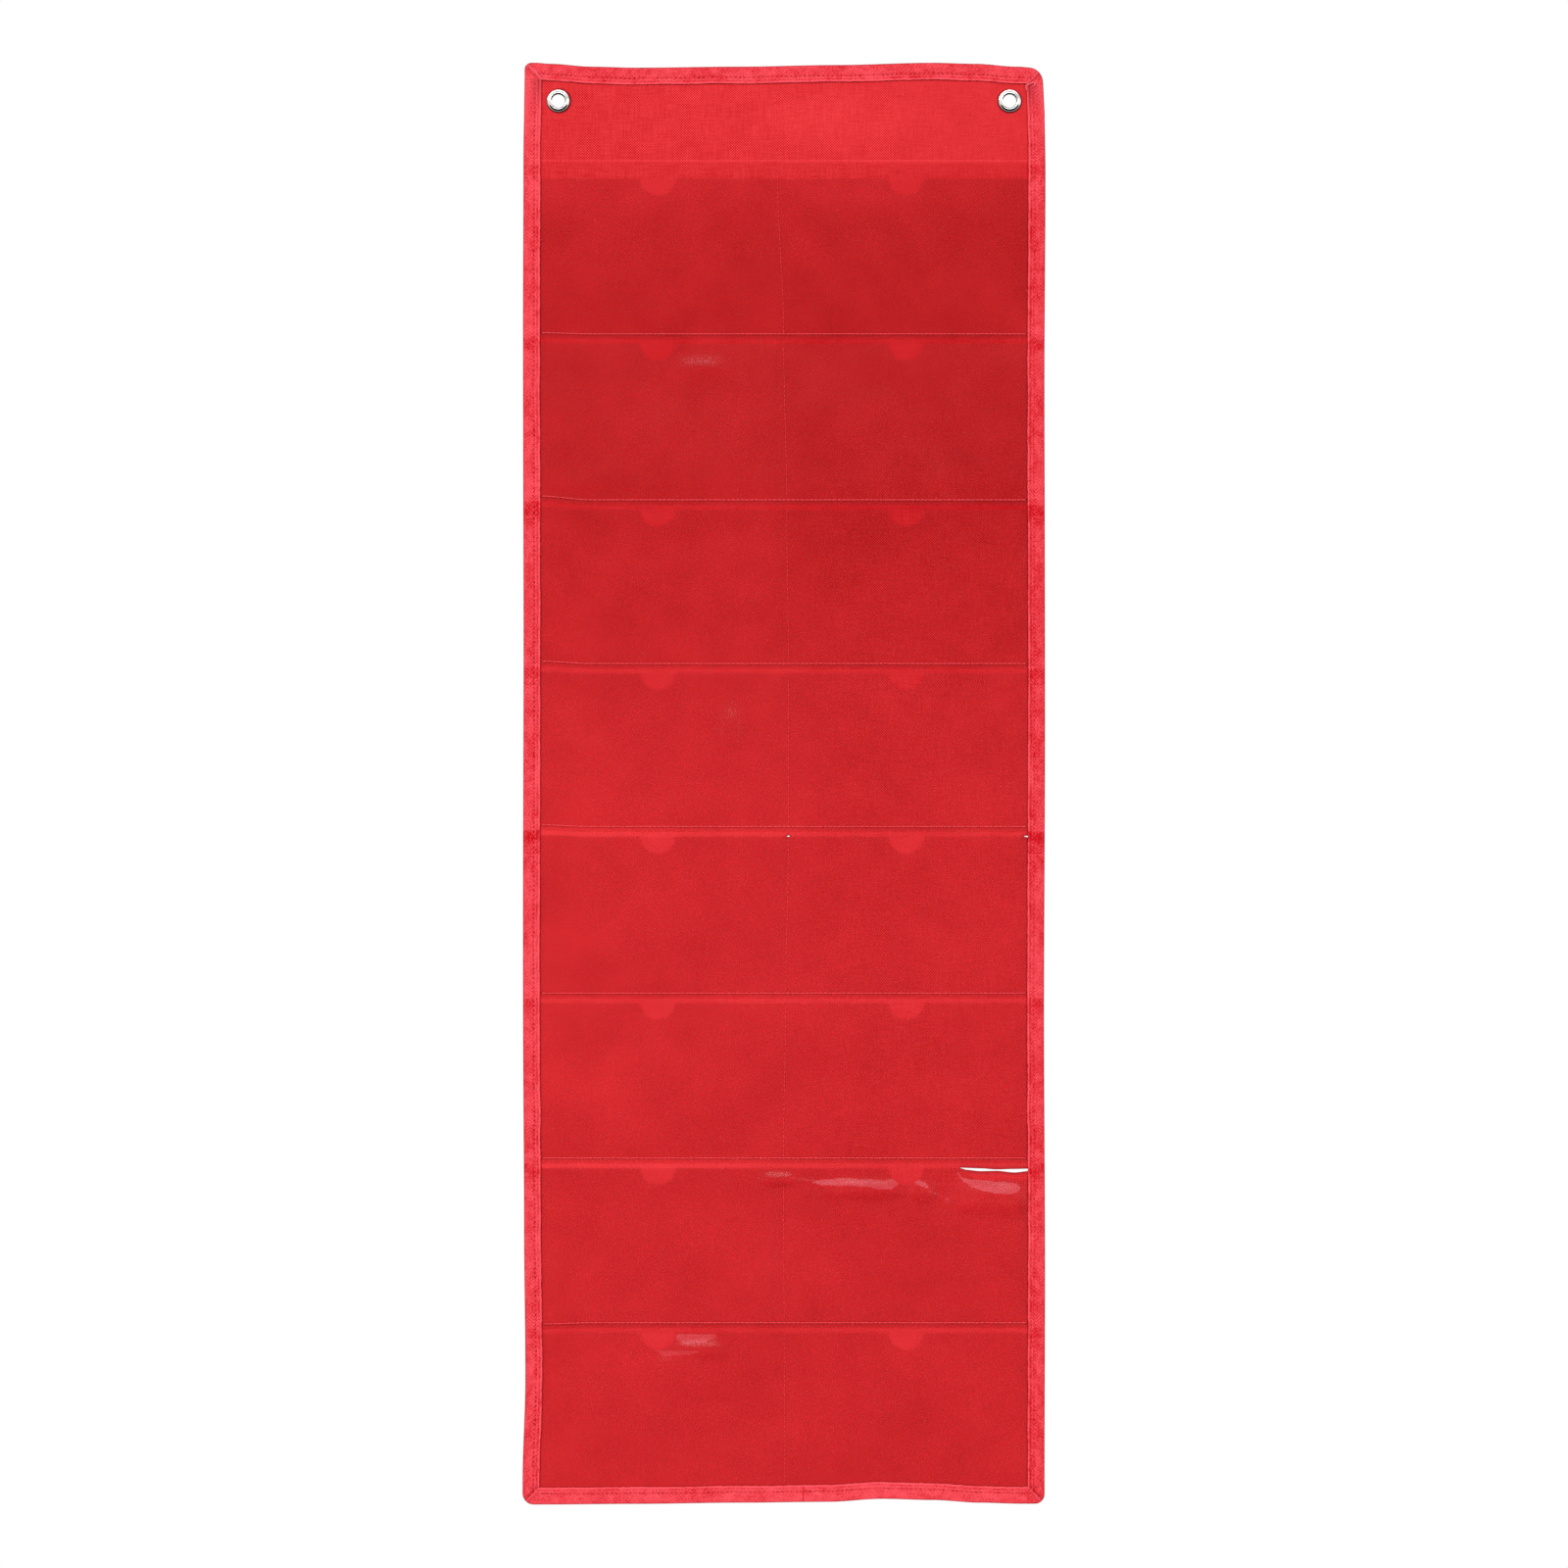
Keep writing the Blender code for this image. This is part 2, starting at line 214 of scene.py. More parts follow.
def hung(x, depth, height):
    """Where a point of the straight chart hangs at rest, eased over the folds."""
    row = sum(height < fold_height(each) for each in joints)
    for fold in (row, row + 1):
        if fold in joints and abs(height - fold_height(fold)) < crease_reach:
            share = between(fold_height(fold) - height, -crease_reach, crease_reach)
            above = on_row(fold - 1, x, depth, height)
            return above.lerp(on_row(fold, x, depth, height), share)
    return on_row(row, x, depth, height)


def laid(point):
    """The hanging place of a point of the straight chart, with the chart's own unevenness."""
    x, depth, height = point
    sway = left_sway if x < 0 else right_sway
    across = x + along(sway, height) * between(abs(x), *sway_reach)
    up = height
    up += along(top_waves, x) * between(height, 0.004, top_edge - tape_width)
    up += along(bottom_waves, x) * between(-height, -(bottom_edge + 0.03), -(bottom_edge + tape_width))
    up += sum(along(drift, height) for drift in row_drift)
    if -x > lift_reach[0]:
        for row, lift in seam_lifts.items():
            up += lift * between(-x, *lift_reach) * between(abs(height - seam_height(row)), 0.014, 0.003)
    return hung(across, depth + drape(x, height), up)


# Meshes

def finish_piece(bm, name, material, smooth=32.0):
    """Lays a mesh that was made straight, and makes it an object at the origin."""
    for vert in bm.verts:
        vert.co = laid(vert.co)
    return as_object(bm, name, material, smooth)


def linked(name, data):
    """An object with these data, linked to the scene."""
    thing = bpy.data.objects.new(name, data)
    bpy.context.scene.collection.objects.link(thing)
    return thing


def as_object(bm, name, material, smooth=32.0):
    mesh = bpy.data.meshes.new(name)
    bm.to_mesh(mesh)
    bm.free()
    mesh.materials.append(material)
    mesh.shade_smooth()
    mesh.set_sharp_from_angle(angle=radians(smooth))
    return linked(name, mesh)


def outline_face(outline):
    """A bmesh with one flat face, drawn in the plane of the chart, facing the front."""
    bm = bmesh.new()
    bm.faces.new([bm.verts.new((x, 0, height)) for x, height in outline])
    bmesh.ops.recalc_face_normals(bm, faces=bm.faces)
    if bm.faces[:][0].normal.y > 0:
        bmesh.ops.reverse_faces(bm, faces=bm.faces)
    return bm


def slice_up(bm, places, axis):
    """Cuts the flat mesh along lines at these places."""
    normal = (1, 0, 0) if axis == "x" else (0, 0, 1)
    for place in places:
        point = (place, 0, 0) if axis == "x" else (0, 0, place)
        everything = [*bm.verts, *bm.edges, *bm.faces]
        bmesh.ops.bisect_plane(bm, geom=everything, dist=cut_reach, plane_co=point, plane_no=normal)


def even_places(low, high, cell):
    """Places inside a stretch, about a cell apart."""
    count = max(round((high - low) / cell), 1)
    return [low + (high - low) * step / count for step in range(1, count)]


def map_to_cloth(bm):
    """A UV map in metres that lies on the straight cloth."""
    layer = bm.loops.layers.uv.new("cloth")
    for face in bm.faces:
        for loop in face.loops:
            loop[layer].uv = (loop.vert.co.x, loop.vert.co.z)


def paint(bm, name, value):
    """Keeps a number at every point of the straight mesh, for its material."""
    layer = bm.verts.layers.float.new(name)
    for vert in bm.verts:
        vert[layer] = value(vert.co)


def arc(centre_x, centre_z, radius, start, end, steps):
    angles = [start + (end - start) * step / steps for step in range(steps + 1)]
    return [(centre_x + radius * cos(angle), centre_z + radius * sin(angle)) for angle in angles]


# The outline's corners in their order, and the angle at which the arc of each starts
corner_starts = {("left", "bottom"): -pi, ("right", "bottom"): -pi / 2,
                 ("right", "top"): 0.0, ("left", "top"): pi / 2}
corner_steps = 6


def sheet_outline(bottom, top, rounded, notches=()):
    """The outline of a sheet that runs under the tape on both sides, from its bottom left corner."""
    corners = []
    for (hand, end), start in corner_starts.items():
        level, inward = (bottom, 1) if end == "bottom" else (top, -1)
        if (hand, end) == ("left", "top"):
            for centre in sorted(notches, reverse=True):
                corners += notch_edge(centre, top)
        if end != rounded:
            corners.append((sides[hand] * sheet_side, level))
            continue
        radius = corner_radii[hand, end] - sheet_inset
        middle = sides[hand] * (sheet_side - radius), level + inward * radius
        corners += arc(*middle, radius, start, start + pi / 2, corner_steps)
    return corners


# Thumb notches in the film
notch_width = 0.0238
notch_depth = 0.0112
notch_centres = (-0.0851, 0.0821)
notch_steps = 24


def notch_edge(centre, top):
    radius = (notch_width**2 / 4 + notch_depth**2) / (2 * notch_depth)
    spread = asin(notch_width / 2 / radius)
    middle = top - notch_depth + radius
    return arc(centre, middle, radius, -pi / 2 + spread, -pi / 2 - spread, notch_steps)


# Materials

class Nodes:
    """The nodes of a material or of the world. A value that is a socket is linked, any other is set."""

    def __init__(self, owner):
        owner.use_nodes = True
        self.owner = owner
        self.tree = owner.node_tree

    def put(self, values, sockets):
        for value, socket in zip(values, sockets):
            if isinstance(value, bpy.types.NodeSocket):
                self.tree.links.new(value, socket)
            else:
                socket.default_value = value

    def set(self, node, **values):
        self.put(values.values(), [node.inputs[key.replace("_", " ")] for key in values])
        return node

    def add(self, kind, settings=(), **values):
        node = self.tree.nodes.new(f"ShaderNode{kind}")
        for key, value in dict(settings).items():
            setattr(node, key, value)
        return self.set(node, **values)

    def get(self, result, kind, settings=(), **values):
        """Adds a node and gives one of its outputs."""
        return self.add(kind, settings, **values).outputs[result]

    def math(self, operation, *values):
        node = self.add("Math", {"operation": operation})
        self.put(values, node.inputs)
        return node.outputs[0]

    def times(self, first, second):
        return self.math("MULTIPLY", first, second)

    def sum(self, *terms):
        """Adds terms up, each a value or a (value, weight) pair."""
        total = 0.0
        for term in terms:
            value = self.times(*term) if isinstance(term, tuple) else term
            total = self.math("ADD", value, total)
        return total

    def ramp(self, value, low, high, to_low=0.0, to_high=1.0):
        ends = {"From_Min": low, "From_Max": high, "To_Min": to_low, "To_Max": to_high}
        return self.get("Result", "MapRange", Value=value, **ends)

    def swing(self, value):
        """A noise's value, spread from -0.5 to 0.5."""
        return self.ramp(value, 0.3, 0.7, -0.5, 0.5)

    def blend(self, share, first, second, kind="MIX"):
        node = self.add("Mix", {"data_type": "RGBA", "blend_type": kind})
        self.put((share, first, second), [node.inputs[index] for index in (0, 6, 7)])
        return node.outputs[2]

    def noise(self, place, scale, detail=2.0):
        return self.get("Fac", "TexNoise", Vector=place, Scale=scale, Detail=detail)

    def cloth_place(self):
        return self.get("UV", "UVMap", {"uv_map": "cloth"})

    def stretched(self, place, scale):
        return self.get("Vector", "Mapping", Vector=place, Scale=scale)

    def parts(self, place):
        return self.add("SeparateXYZ", Vector=place).outputs

    def painted(self, name):
        return self.get("Fac", "Attribute", {"attribute_name": name})

    def scaled(self, tint, factor):
        return self.get("Vector", "VectorMath", {"operation": "SCALE"}, Vector=tint, Scale=factor)

    def bump(self, height, distance, strength=1.0):
        return self.get("Normal", "Bump", Height=height, Distance=distance, Strength=strength)

    def mix_shaders(self, share, first, second):
        node = self.add("MixShader")
        self.put((share, first.outputs[0], second.outputs[0]), node.inputs)
        return node

    def close(self, shader, output="Material Output"):
        self.put(shader.outputs[:1], [self.tree.nodes[output].inputs["Surface"]])


class Finish(Nodes):
    """A new material's nodes."""

    def __init__(self, name):
        super().__init__(bpy.data.materials.new(name))
        self.shader = self.tree.nodes["Principled BSDF"]

    def surface(self, **values):
        self.set(self.shader, **values)


pure_white = (1, 1, 1, 1)


def colour(red, green, blue):
    """An opaque colour from its sRGB bytes."""
    def linear(byte):
        share = byte / 255
        return share / 12.92 if share <= 0.04045 else ((share + 0.055) / 1.055) ** 2.4
    return (linear(red), linear(green), linear(blue), 1.0)


def plain_weave(finish, place, pitches):
    """A plain weave's height: yarns go over and under by turns both ways. From -1 to 1."""
    parts = finish.parts(place)
    waves = [finish.math("SINE", finish.times(parts[axis], pi / pitch)) for axis, pitch in zip("XY", pitches)]
    return finish.times(*waves)


def cloth_finish():
    """Red plain-woven canvas, with uneven yarns, slow changes of tone, and painted light and shade."""
    finish = Finish("red canvas")
    place = finish.cloth_place()
    weave = plain_weave(finish, place, canvas_pitches)
    yarns = finish.math("ADD", *[finish.swing(finish.noise(finish.stretched(place, scale), 1.0, 3.0))
                                 for scale in yarn_scales])
    grain = finish.times(finish.sum((weave, 0.4), (yarns, 0.16)), finish.painted("grain"))
    patches = finish.swing(finish.noise(place, 40.0, 3.0))
    tone = finish.sum(finish.painted("tone"), (patches, 0.1))
    base = finish.blend(tone, colour(184, 10, 18), colour(252, 67, 73))
    base = finish.blend(1.0, base, finish.scaled((0.6, 0.098, 0.114), grain), "ADD")
    base = finish.scaled(base, finish.painted("shade"))
    height = finish.sum(weave, (yarns, 0.5))
    finish.surface(Base_Color=base, Normal=finish.bump(height, 0.00006, 0.6))
    finish.surface(Roughness=0.95, Specular_IOR_Level=0.05)
    return finish.owner


def tape_finish():
    """Pinkish-red binding tape in a fine twill, pricked by its seam's needle holes."""
    finish = Finish("binding tape")
    place = finish.cloth_place()
    parts = finish.parts(place)
    weave = plain_weave(finish, place, tape_pitches)
    slant = finish.math("ADD", parts["X"], finish.math("PINGPONG", parts["Y"], twill_turn))
    twill = finish.math("SINE", finish.times(slant, 2 * pi / twill_pitch))
    fuzz = finish.swing(finish.noise(place, 900.0, 4.0))
    patches = finish.ramp(finish.noise(place, 90.0, 2.0), 0.4, 0.7, 0.04, 0.13)
    patches = finish.sum(patches, (finish.painted("pressed"), 0.14))
    grain = finish.sum((weave, 0.12), finish.times(twill, patches), (fuzz, 0.55))
    along_seam = finish.math("ABSOLUTE", finish.math("SINE", finish.times(parts["X"], pi / stitch_pitch)))
    off_seam = finish.math("ABSOLUTE", finish.math("SUBTRACT", parts["Y"], seam_line))
    hole = finish.times(finish.ramp(along_seam, 0.5, 0.9), finish.ramp(off_seam, 0.0003, 0.0008, 1, 0))
    hole = finish.times(hole, finish.painted("sewn"))
    # The painted tone carries painted highlights and shade along the lip, the stitch line, the folds and the
    # mitres
    tone = finish.sum(finish.painted("tone"), (grain, 1.5))
    base = finish.blend(tone, colour(208, 10, 24), colour(255, 86, 98))
    # Painted shade in the needle holes
    base = finish.scaled(base, finish.sum((hole, -0.5), 1.0))
    base = finish.scaled(base, finish.painted("shade"))
    height = finish.sum(grain, (hole, -2.0))
    finish.surface(Base_Color=base, Normal=finish.bump(height, 0.0001, 0.6), Roughness=0.9)
    finish.surface(Specular_IOR_Level=0.08, Sheen_Weight=0.03, Sheen_Roughness=0.5)
    return finish.owner


def thread_finish(name, deep, bright):
    """Twisted polyester thread, brighter than the cloth."""
    finish = Finish(name)
    twist = finish.noise(finish.get("Object", "TexCoord"), 2600.0, 2.0)
    base = finish.blend(finish.ramp(twist, 0.35, 0.65), deep, bright)
    finish.surface(Base_Color=base, Normal=finish.bump(twist, 0.00008, 0.5))
    finish.surface(Roughness=0.7, Specular_IOR_Level=0.1)
    return finish.owner


def film_finish():
    """Clear film: it deepens the cloth behind it, is hazy where it is scuffed, and has painted glare, partly
    hazy, on its bulges and an even painted reflection all over.
    """
    finish = Finish("clear film")
    place = finish.cloth_place()
    cloud = finish.ramp(finish.noise(place, 22.0, 4.0), 0.35, 0.75)
    scuffs = finish.ramp(finish.noise(finish.stretched(place, (90, 700, 1)), 1.0, 5.0), 0.62, 0.8)
    rough = finish.sum((cloud, 0.04), (scuffs, 0.1), 0.18)
    bulge_glare = finish.painted("haze_and_glare")
    tint = finish.blend(cloud, colour(245, 230, 231), colour(249, 236, 237))
    # Paler tint in the patches: painted glare
    tint = finish.blend(finish.ramp(bulge_glare, 0.0, 0.05), tint, colour(255, 236, 239))
    clear = finish.add("BsdfTransparent", Color=tint)
    # The pale diffuse shader: hazy scuffs, painted glare on the bulges and an even painted reflection
    haze_and_glare = finish.add("BsdfDiffuse", Color=(1.0, 0.82, 0.97, 1))
    gloss = finish.add("BsdfGlossy", Color=pure_white, Roughness=rough)
    edge = finish.get("Fac", "Fresnel", IOR=1.22)
    haze_and_glare_mix = finish.mix_shaders(finish.sum(bulge_glare, (scuffs, 0.01), film_painted_reflection), clear, haze_and_glare)
    finish.close(finish.mix_shaders(edge, haze_and_glare_mix, gloss))
    finish.tree.nodes.remove(finish.shader)
    return finish.owner


def nickel_finish():
    """Bright nickel plate with fine handling marks, with painted shade where it is also duller."""
    finish = Finish("nickel plate")
    marks = finish.noise(finish.get("Object", "TexCoord"), 900.0, 5.0)
    shade_and_dull = finish.painted("shade_and_dullness")
    rough = finish.sum(finish.ramp(marks, 0.3, 0.7, 0.05, 0.12), (shade_and_dull, 0.15))
    tint = finish.blend(marks, colour(222, 220, 214), colour(244, 243, 238))
    # Painted shade in the throat and round the rim
    tint = finish.blend(shade_and_dull, tint, colour(96, 82, 76))
    finish.surface(Base_Color=tint, Metallic=1.0, Roughness=rough, Normal=finish.bump(marks, 0.00002, 0.2))
    return finish.owner


# Yarn pitches across and up, the twill's slant and its turns, and the seam of the tape
canvas_pitches = (0.00088, 0.00089)
yarn_scales = ((70, 1150, 1), (1150, 70, 1))
tape_pitches = (0.00118, 0.00074)
twill_pitch = 0.0022
twill_turn = 0.0032
stitch_pitch = 0.0031
stitch_inset = 0.0073
# An even pale veil over all the film: painted reflection of the room
film_painted_reflection = 0.0025

canvas = cloth_finish()
film = film_finish()
thread = thread_finish("sewing thread", colour(243, 54, 62), colour(254, 86, 93))
loose_thread = thread_finish("loose thread", colour(246, 84, 100), colour(255, 132, 146))
nickel = nickel_finish()


# Cloth

seam_lap = 0.002
# The tape's front leg in section: how far from the outer edge, and how far before the leg's inner face
tape_leg = metres([
    (11.15, 0.05), (11.4, -0.12), (11.4, -0.5), (11.15, -0.76), (10.75, -0.85), (10.3, -0.79), (9.8, -0.64),
    (9.3, -0.6), (8.7, -0.66), (8.1, -0.6), (7.7, -0.4), (7.3, -0.24), (6.9, -0.36), (6.4, -0.52),
    (5.6, -0.6), (4.6, -0.62), (3.6, -0.6), (2.4, -0.54)])
lip_inset = tape_leg[1][0]
hole_radius = 0.0058
hole_sides = 20
rim_radius = 0.0076
rim_shadow = 0.0015
eyelet_reach = 0.152


def bend_at(piece, fold):
    """Bends a piece across a fold, between the bodies above and below it."""
    start = on_row(fold - 1, 0, 0, fold_height(fold) + crease_reach)
    end = on_row(fold, 0, 0, fold_height(fold) - crease_reach)
    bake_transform(piece, body(fold - 1), body(fold), start=start, end=end)


def cut_round(bm, x, radius, opened=False):
    """Cuts the cells round an eyelet along a many-sided ring, and drops what is inside if it is a hole."""
    def distance(face):
        centre = face.calc_center_median()
        return hypot(centre.x - x, centre.z)

    for side in range(hole_sides):
        angle = 2 * pi * side / hole_sides
        normal = Vector((cos(angle), 0, sin(angle)))
        faces = [face for face in bm.faces if distance(face) < radius + 2 * cloth_cell]
        edges = {edge for face in faces for edge in face.edges}
        verts = {vert for face in faces for vert in face.verts}
        point = Vector((x, 0, 0)) + normal * radius
        nearby = [*verts, *edges, *faces]
        bmesh.ops.bisect_plane(bm, geom=nearby, dist=cut_reach, plane_co=point, plane_no=normal)
    if opened:
        inside = [face for face in bm.faces if distance(face) < radius * 0.98]
        bmesh.ops.delete(bm, geom=inside, context="FACES")


# Where the cloth hangs open along a fold: places across, with the drops of the upper and of the lower lip
gaps = {
    7: [metres([(118.1, 0, 0), (122.5, 0.2, 1.4), (132, 0.5, 2.3), (143.2, 1.2, 2.1), (155.1, 0.9, 3.2),
                (165, 0.7, 2.2), (170, 0, 0)])],
    5: [metres([(1.9, 0, 0), (3, -0.4, 0.6), (4.1, 0, 0)]),
        metres([(161.2, 0, 0), (163.5, -0.2, 0.8), (166.5, 0, 0.4), (169, 0, 0)])],
}
gap_slack = 0.00002


def open_gap(bm, level, lips):
    """Splits the cloth along a fold and lets the lips hang away, with the cloth next to them, and marks the
    lips for painted shade along them.
    """
    start, end = lips[0][0], lips[-1][0]
    upper = [(x, drop) for x, drop, _ in lips]
    lower = [(x, drop) for x, _, drop in lips]

    def on_gap(vert):
        return abs(vert.co.z - level) < gap_slack and start - gap_slack < vert.co.x < end + gap_slack

    def drop(vert):
        if not start <= vert.co.x <= end:
            return 0.0
        above = vert.co.z - level
        if on_gap(vert):
            above = vert.link_faces[0].calc_center_median().z - level
        lip, reach = (upper, 0.0056) if above > 0 else (lower, 0.016)
        return along(lip, vert.co.x) * between(abs(vert.co.z - level), reach, 0.0)

    def near_gap(vert):
        inside = start < vert.co.x < end
        return max(float(on_gap(vert)), 0.6 * inside * between(abs(vert.co.z - level), 0.0015, 0.0008))

    split = [edge for edge in bm.edges if all(on_gap(vert) for vert in edge.verts)]
    bmesh.ops.split_edges(bm, edges=split)
    lip_shade_mark = bm.verts.layers.float["lip"]
    for vert, fall, lip in [(vert, drop(vert), near_gap(vert)) for vert in bm.verts]:
        vert.co.z -= fall
        vert[lip_shade_mark] = max(lip, vert[lip_shade_mark])


# The cloth's tone by height: painted light and shade, deepest over the first rows and in the band under the
# header's crease
canvas_tone_and_light_by_height = [(bottom_edge, 0.48), (-0.75, 0.49), (-0.64, 0.48), (-0.54, 0.5), (-0.42, 0.43), (-0.33, 0.35),
                (-0.25, 0.26), (-0.09, 0.27), (-0.054, 0.42), (-0.0425, 0.45), (-0.0415, 0.52), (0.0, 0.55)]
# Where the painted highlight along the header's crease lies, and how far round the first film's top edge the
# painted shade to the right reaches
crease_highlight_height = -0.0403
first_band_reach = 0.0098
# How much paler each bare band is than the cloth under the film, at its left and right: partly the bare cloth's
# own colour, partly painted light and shade
band_lifts = {2: (0.0, -0.04), 3: (-0.02, -0.07), 4: (0.06, -0.02), 5: (0.16, 0.01), 6: (0.06, 0.03),
              7: (0.21, 0.06), 8: (-0.07, -0.01)}


def bare_band(place):
    """The row whose bare band above its film holds this place, and how far inside the band it is."""
    for row in range(2, row_count + 1):
        inside = between(abs(place.z - (film_top(row) + seam_height(row - 1)) / 2), 0.0045, 0.003)
        if inside:
            return row, inside
    return 1, 0.0


def canvas_tone_and_light(place):
    tone = along(canvas_tone_and_light_by_height, place.z)
    if place.z > crease_height:
        # Painted highlight along the crease, painted light on the header right of its middle, painted shade
        # towards its sides
        tone += 0.3 * hump(place.z, crease_highlight_height, 0.0008)
        tone += 0.1 * between(hypot((place.x - 0.03) / 0.07, (place.z + 0.012) / 0.03), 1.0, 0.0)
        tone -= 0.04 * between(abs(place.x - 0.02), 0.08, 0.15)
        return tone
    if abs(place.z - first_film_top) < first_band_reach:
        # Painted shade to the right in the band under the crease
        return tone - 0.08 * between(place.x, 0.0, 0.12)
    row, bare = bare_band(place)
    left, right = band_lifts.get(row, (0.0, 0.0))
    tone += bare * (right + (left - right) * between(place.x, 0.1, -0.1))
    # Painted light on the left of the rows
    tone += 0.035 * between(place.x, 0.03, -0.03) - 0.02
    return tone + 0.08 * uneven(place.x * 11, 4.0, place.z * 16)


def canvas_grain(place):
    """How plainly the weave shows: less where the film clings to it."""
    if place.z > first_film_top:
        return 1.0 - 0.45 * between(place.x, 0.0, 0.13)
    cling = 0.08 + 0.5 * between(place.x, 0.0, 0.05) * between(abs(place.z + 0.5), 0.31, 0.22)
    cling = max(cling + 0.16 * uneven(place.x * 17, 9.0, place.z * 21), 0.05)
    return cling + (0.45 - cling) * bare_band(place)[1]


# A small crease under the top tape, painted only: a painted highlight along it, painted shade beside it
pucker_start = Vector((-0.0026, 0.0112))
pucker_end = Vector((0.0048, 0.0036))
pucker_cell = 0.0005


def pucker(place, aside):
    """How near a place is to a line beside the small crease, fading towards its ends."""
    run = pucker_end - pucker_start
    past = Vector((place.x, place.z)) - pucker_start
    off = (run.x * past.y - run.y * past.x) / run.length
    return hump(off, aside, 0.0006) * hump(past.dot(run) / run.length_squared, 0.5, 0.6)


def canvas_shade(place):
    """Painted shadows in the cloth: beside the tape's lip, along the seams and round the eyelets, and the
    painted highlight and shade of the small crease.
    """
    lips = ((half_width + place.x, 0.2), (half_width - place.x, 0.32),
            (top_edge - place.z, 0.42), (place.z - bottom_edge, 0.2))
    shade = 1.0 - max(dark * between(inset - lip_inset, 0.001, 0.0001) for inset, dark in lips)
    below = min((seam_height(row) - place.z for row in range(1, row_count)), key=abs)
    shade -= 0.14 * hump(below, 0.0009, 0.0009) + 0.1 * hump(below, -0.0005, 0.0008)
    shade += 0.12 * pucker(place, 0.0) - 0.14 * pucker(place, -0.0007) - 0.06 * pucker(place, 0.0007)
    ring = hypot(abs(place.x) - eyelet_reach, place.z) - rim_radius
    return shade - (0.7 + 0.12 * between(place.z, 0.0, -0.006)) * between(ring, rim_shadow, 0.0)


def canvas_sheet(name, rows, bottom, top, rounded=None, holes=()):
    """A sheet of the cloth, from top to bottom, across the fold over its last row."""
    fold = rows[-1]
    crease = fold_height(fold)
    lapped = top - seam_lap if rows[0] > 1 else None
    bm = outline_face(sheet_outline(bottom, top, rounded))
    lip = half_width - lip_inset
    slice_up(bm, even_places(-sheet_side, sheet_side, cloth_cell), "x")
    slice_up(bm, [-lip, lip, 0.001 - lip, lip - 0.001], "x")
    slice_up(bm, even_places(bottom, crease, cloth_cell), "z")
    slice_up(bm, even_places(crease, top, cloth_cell), "z")
    fine = [crease + step * 0.0008 for step in (-1, 0, 1)]
    fine += [bottom + step for step in (0.0005, 0.0013)] if rounded != "bottom" else []
    if lapped:
        fine += [lapped + step for step in (-0.0018, -0.0009, -0.0003, 0.0005)]
    else:
        fine += [top_edge - lip_inset - step for step in (0, 0.001)]
        fine += [crease_highlight_height + step * 0.0007 for step in (-1, 0, 1)]
        fine += even_places(pucker_end.y - 0.001, pucker_start.y + 0.001, pucker_cell)
        slice_up(bm, even_places(pucker_start.x - 0.001, pucker_end.x + 0.001, pucker_cell), "x")
    if rounded == "bottom":
        fine += [bottom_edge + lip_inset + step for step in (0, 0.001)]
    slice_up(bm, fine, "z")
    for x in holes:
        cut_round(bm, x, rim_radius + rim_shadow)
        cut_round(bm, x, rim_radius)
        cut_round(bm, x, hole_radius, opened=True)
    paint(bm, "lip", lambda place: 0.0)
    for lips in gaps.get(fold, []):
        slice_up(bm, [place[0] for place in lips], "x")
        open_gap(bm, crease, lips)
    map_to_cloth(bm)
    # The tone carries painted light and shade, the shade painted shadows and highlights
    paint(bm, "tone", canvas_tone_and_light)
    paint(bm, "grain", canvas_grain)
    paint(bm, "shade", canvas_shade)
    shade, lip = [bm.verts.layers.float[layer] for layer in ("shade", "lip")]
    for vert in bm.verts:
        # Painted shade along the lips of an open gap
        vert[shade] *= 1.0 - 0.45 * vert[lip]
        if lapped:
            vert.co.y += (cloth_thickness + 0.0001) * between(vert.co.z, lapped - 0.0006, lapped + 0.0004)
    piece = finish_piece(bm, name, canvas)
    wall = piece.modifiers.new("thickness", "SOLIDIFY")
    wall.thickness = cloth_thickness
    wall.offset = 0
    bend_at(piece, fold)
    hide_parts(*[f"{body(row)}_cloth" for row in rows])


centre_seam = metres([(-933, 0.5), (-710, -0.3), (-600, 1.2), (-500, 3), (-380, 3), (-270, 1.8), (-156, -0.3),
                      (-50, -4.3), (12, -6.2)])
hem_height = 0.0036


def seam_share(distance):
    """How far the film stands off the cloth at a distance from a seam."""
    return between(distance, 0.001, 0.011)


# Where a row's film bulges: across, below its top edge, half width, half height, rise
bulges = {
    2: metres([(-56, 16.5, 16, 6, 0.7)]),
    4: metres([(-36, 36, 7, 12, 1.4)]),
    7: metres([(139, 20.5, 28, 10.5, 2.4), (51, 14.2, 31, 6.5, 1.6), (93, 15.2, 8, 6.5, 1.4),
               (-4, 7.5, 12, 4.5, 1.4)]),
    8: metres([(-58, 11.5, 18, 6, 1.5), (-72, 21.5, 14, 5.5, 1.2)]),
}
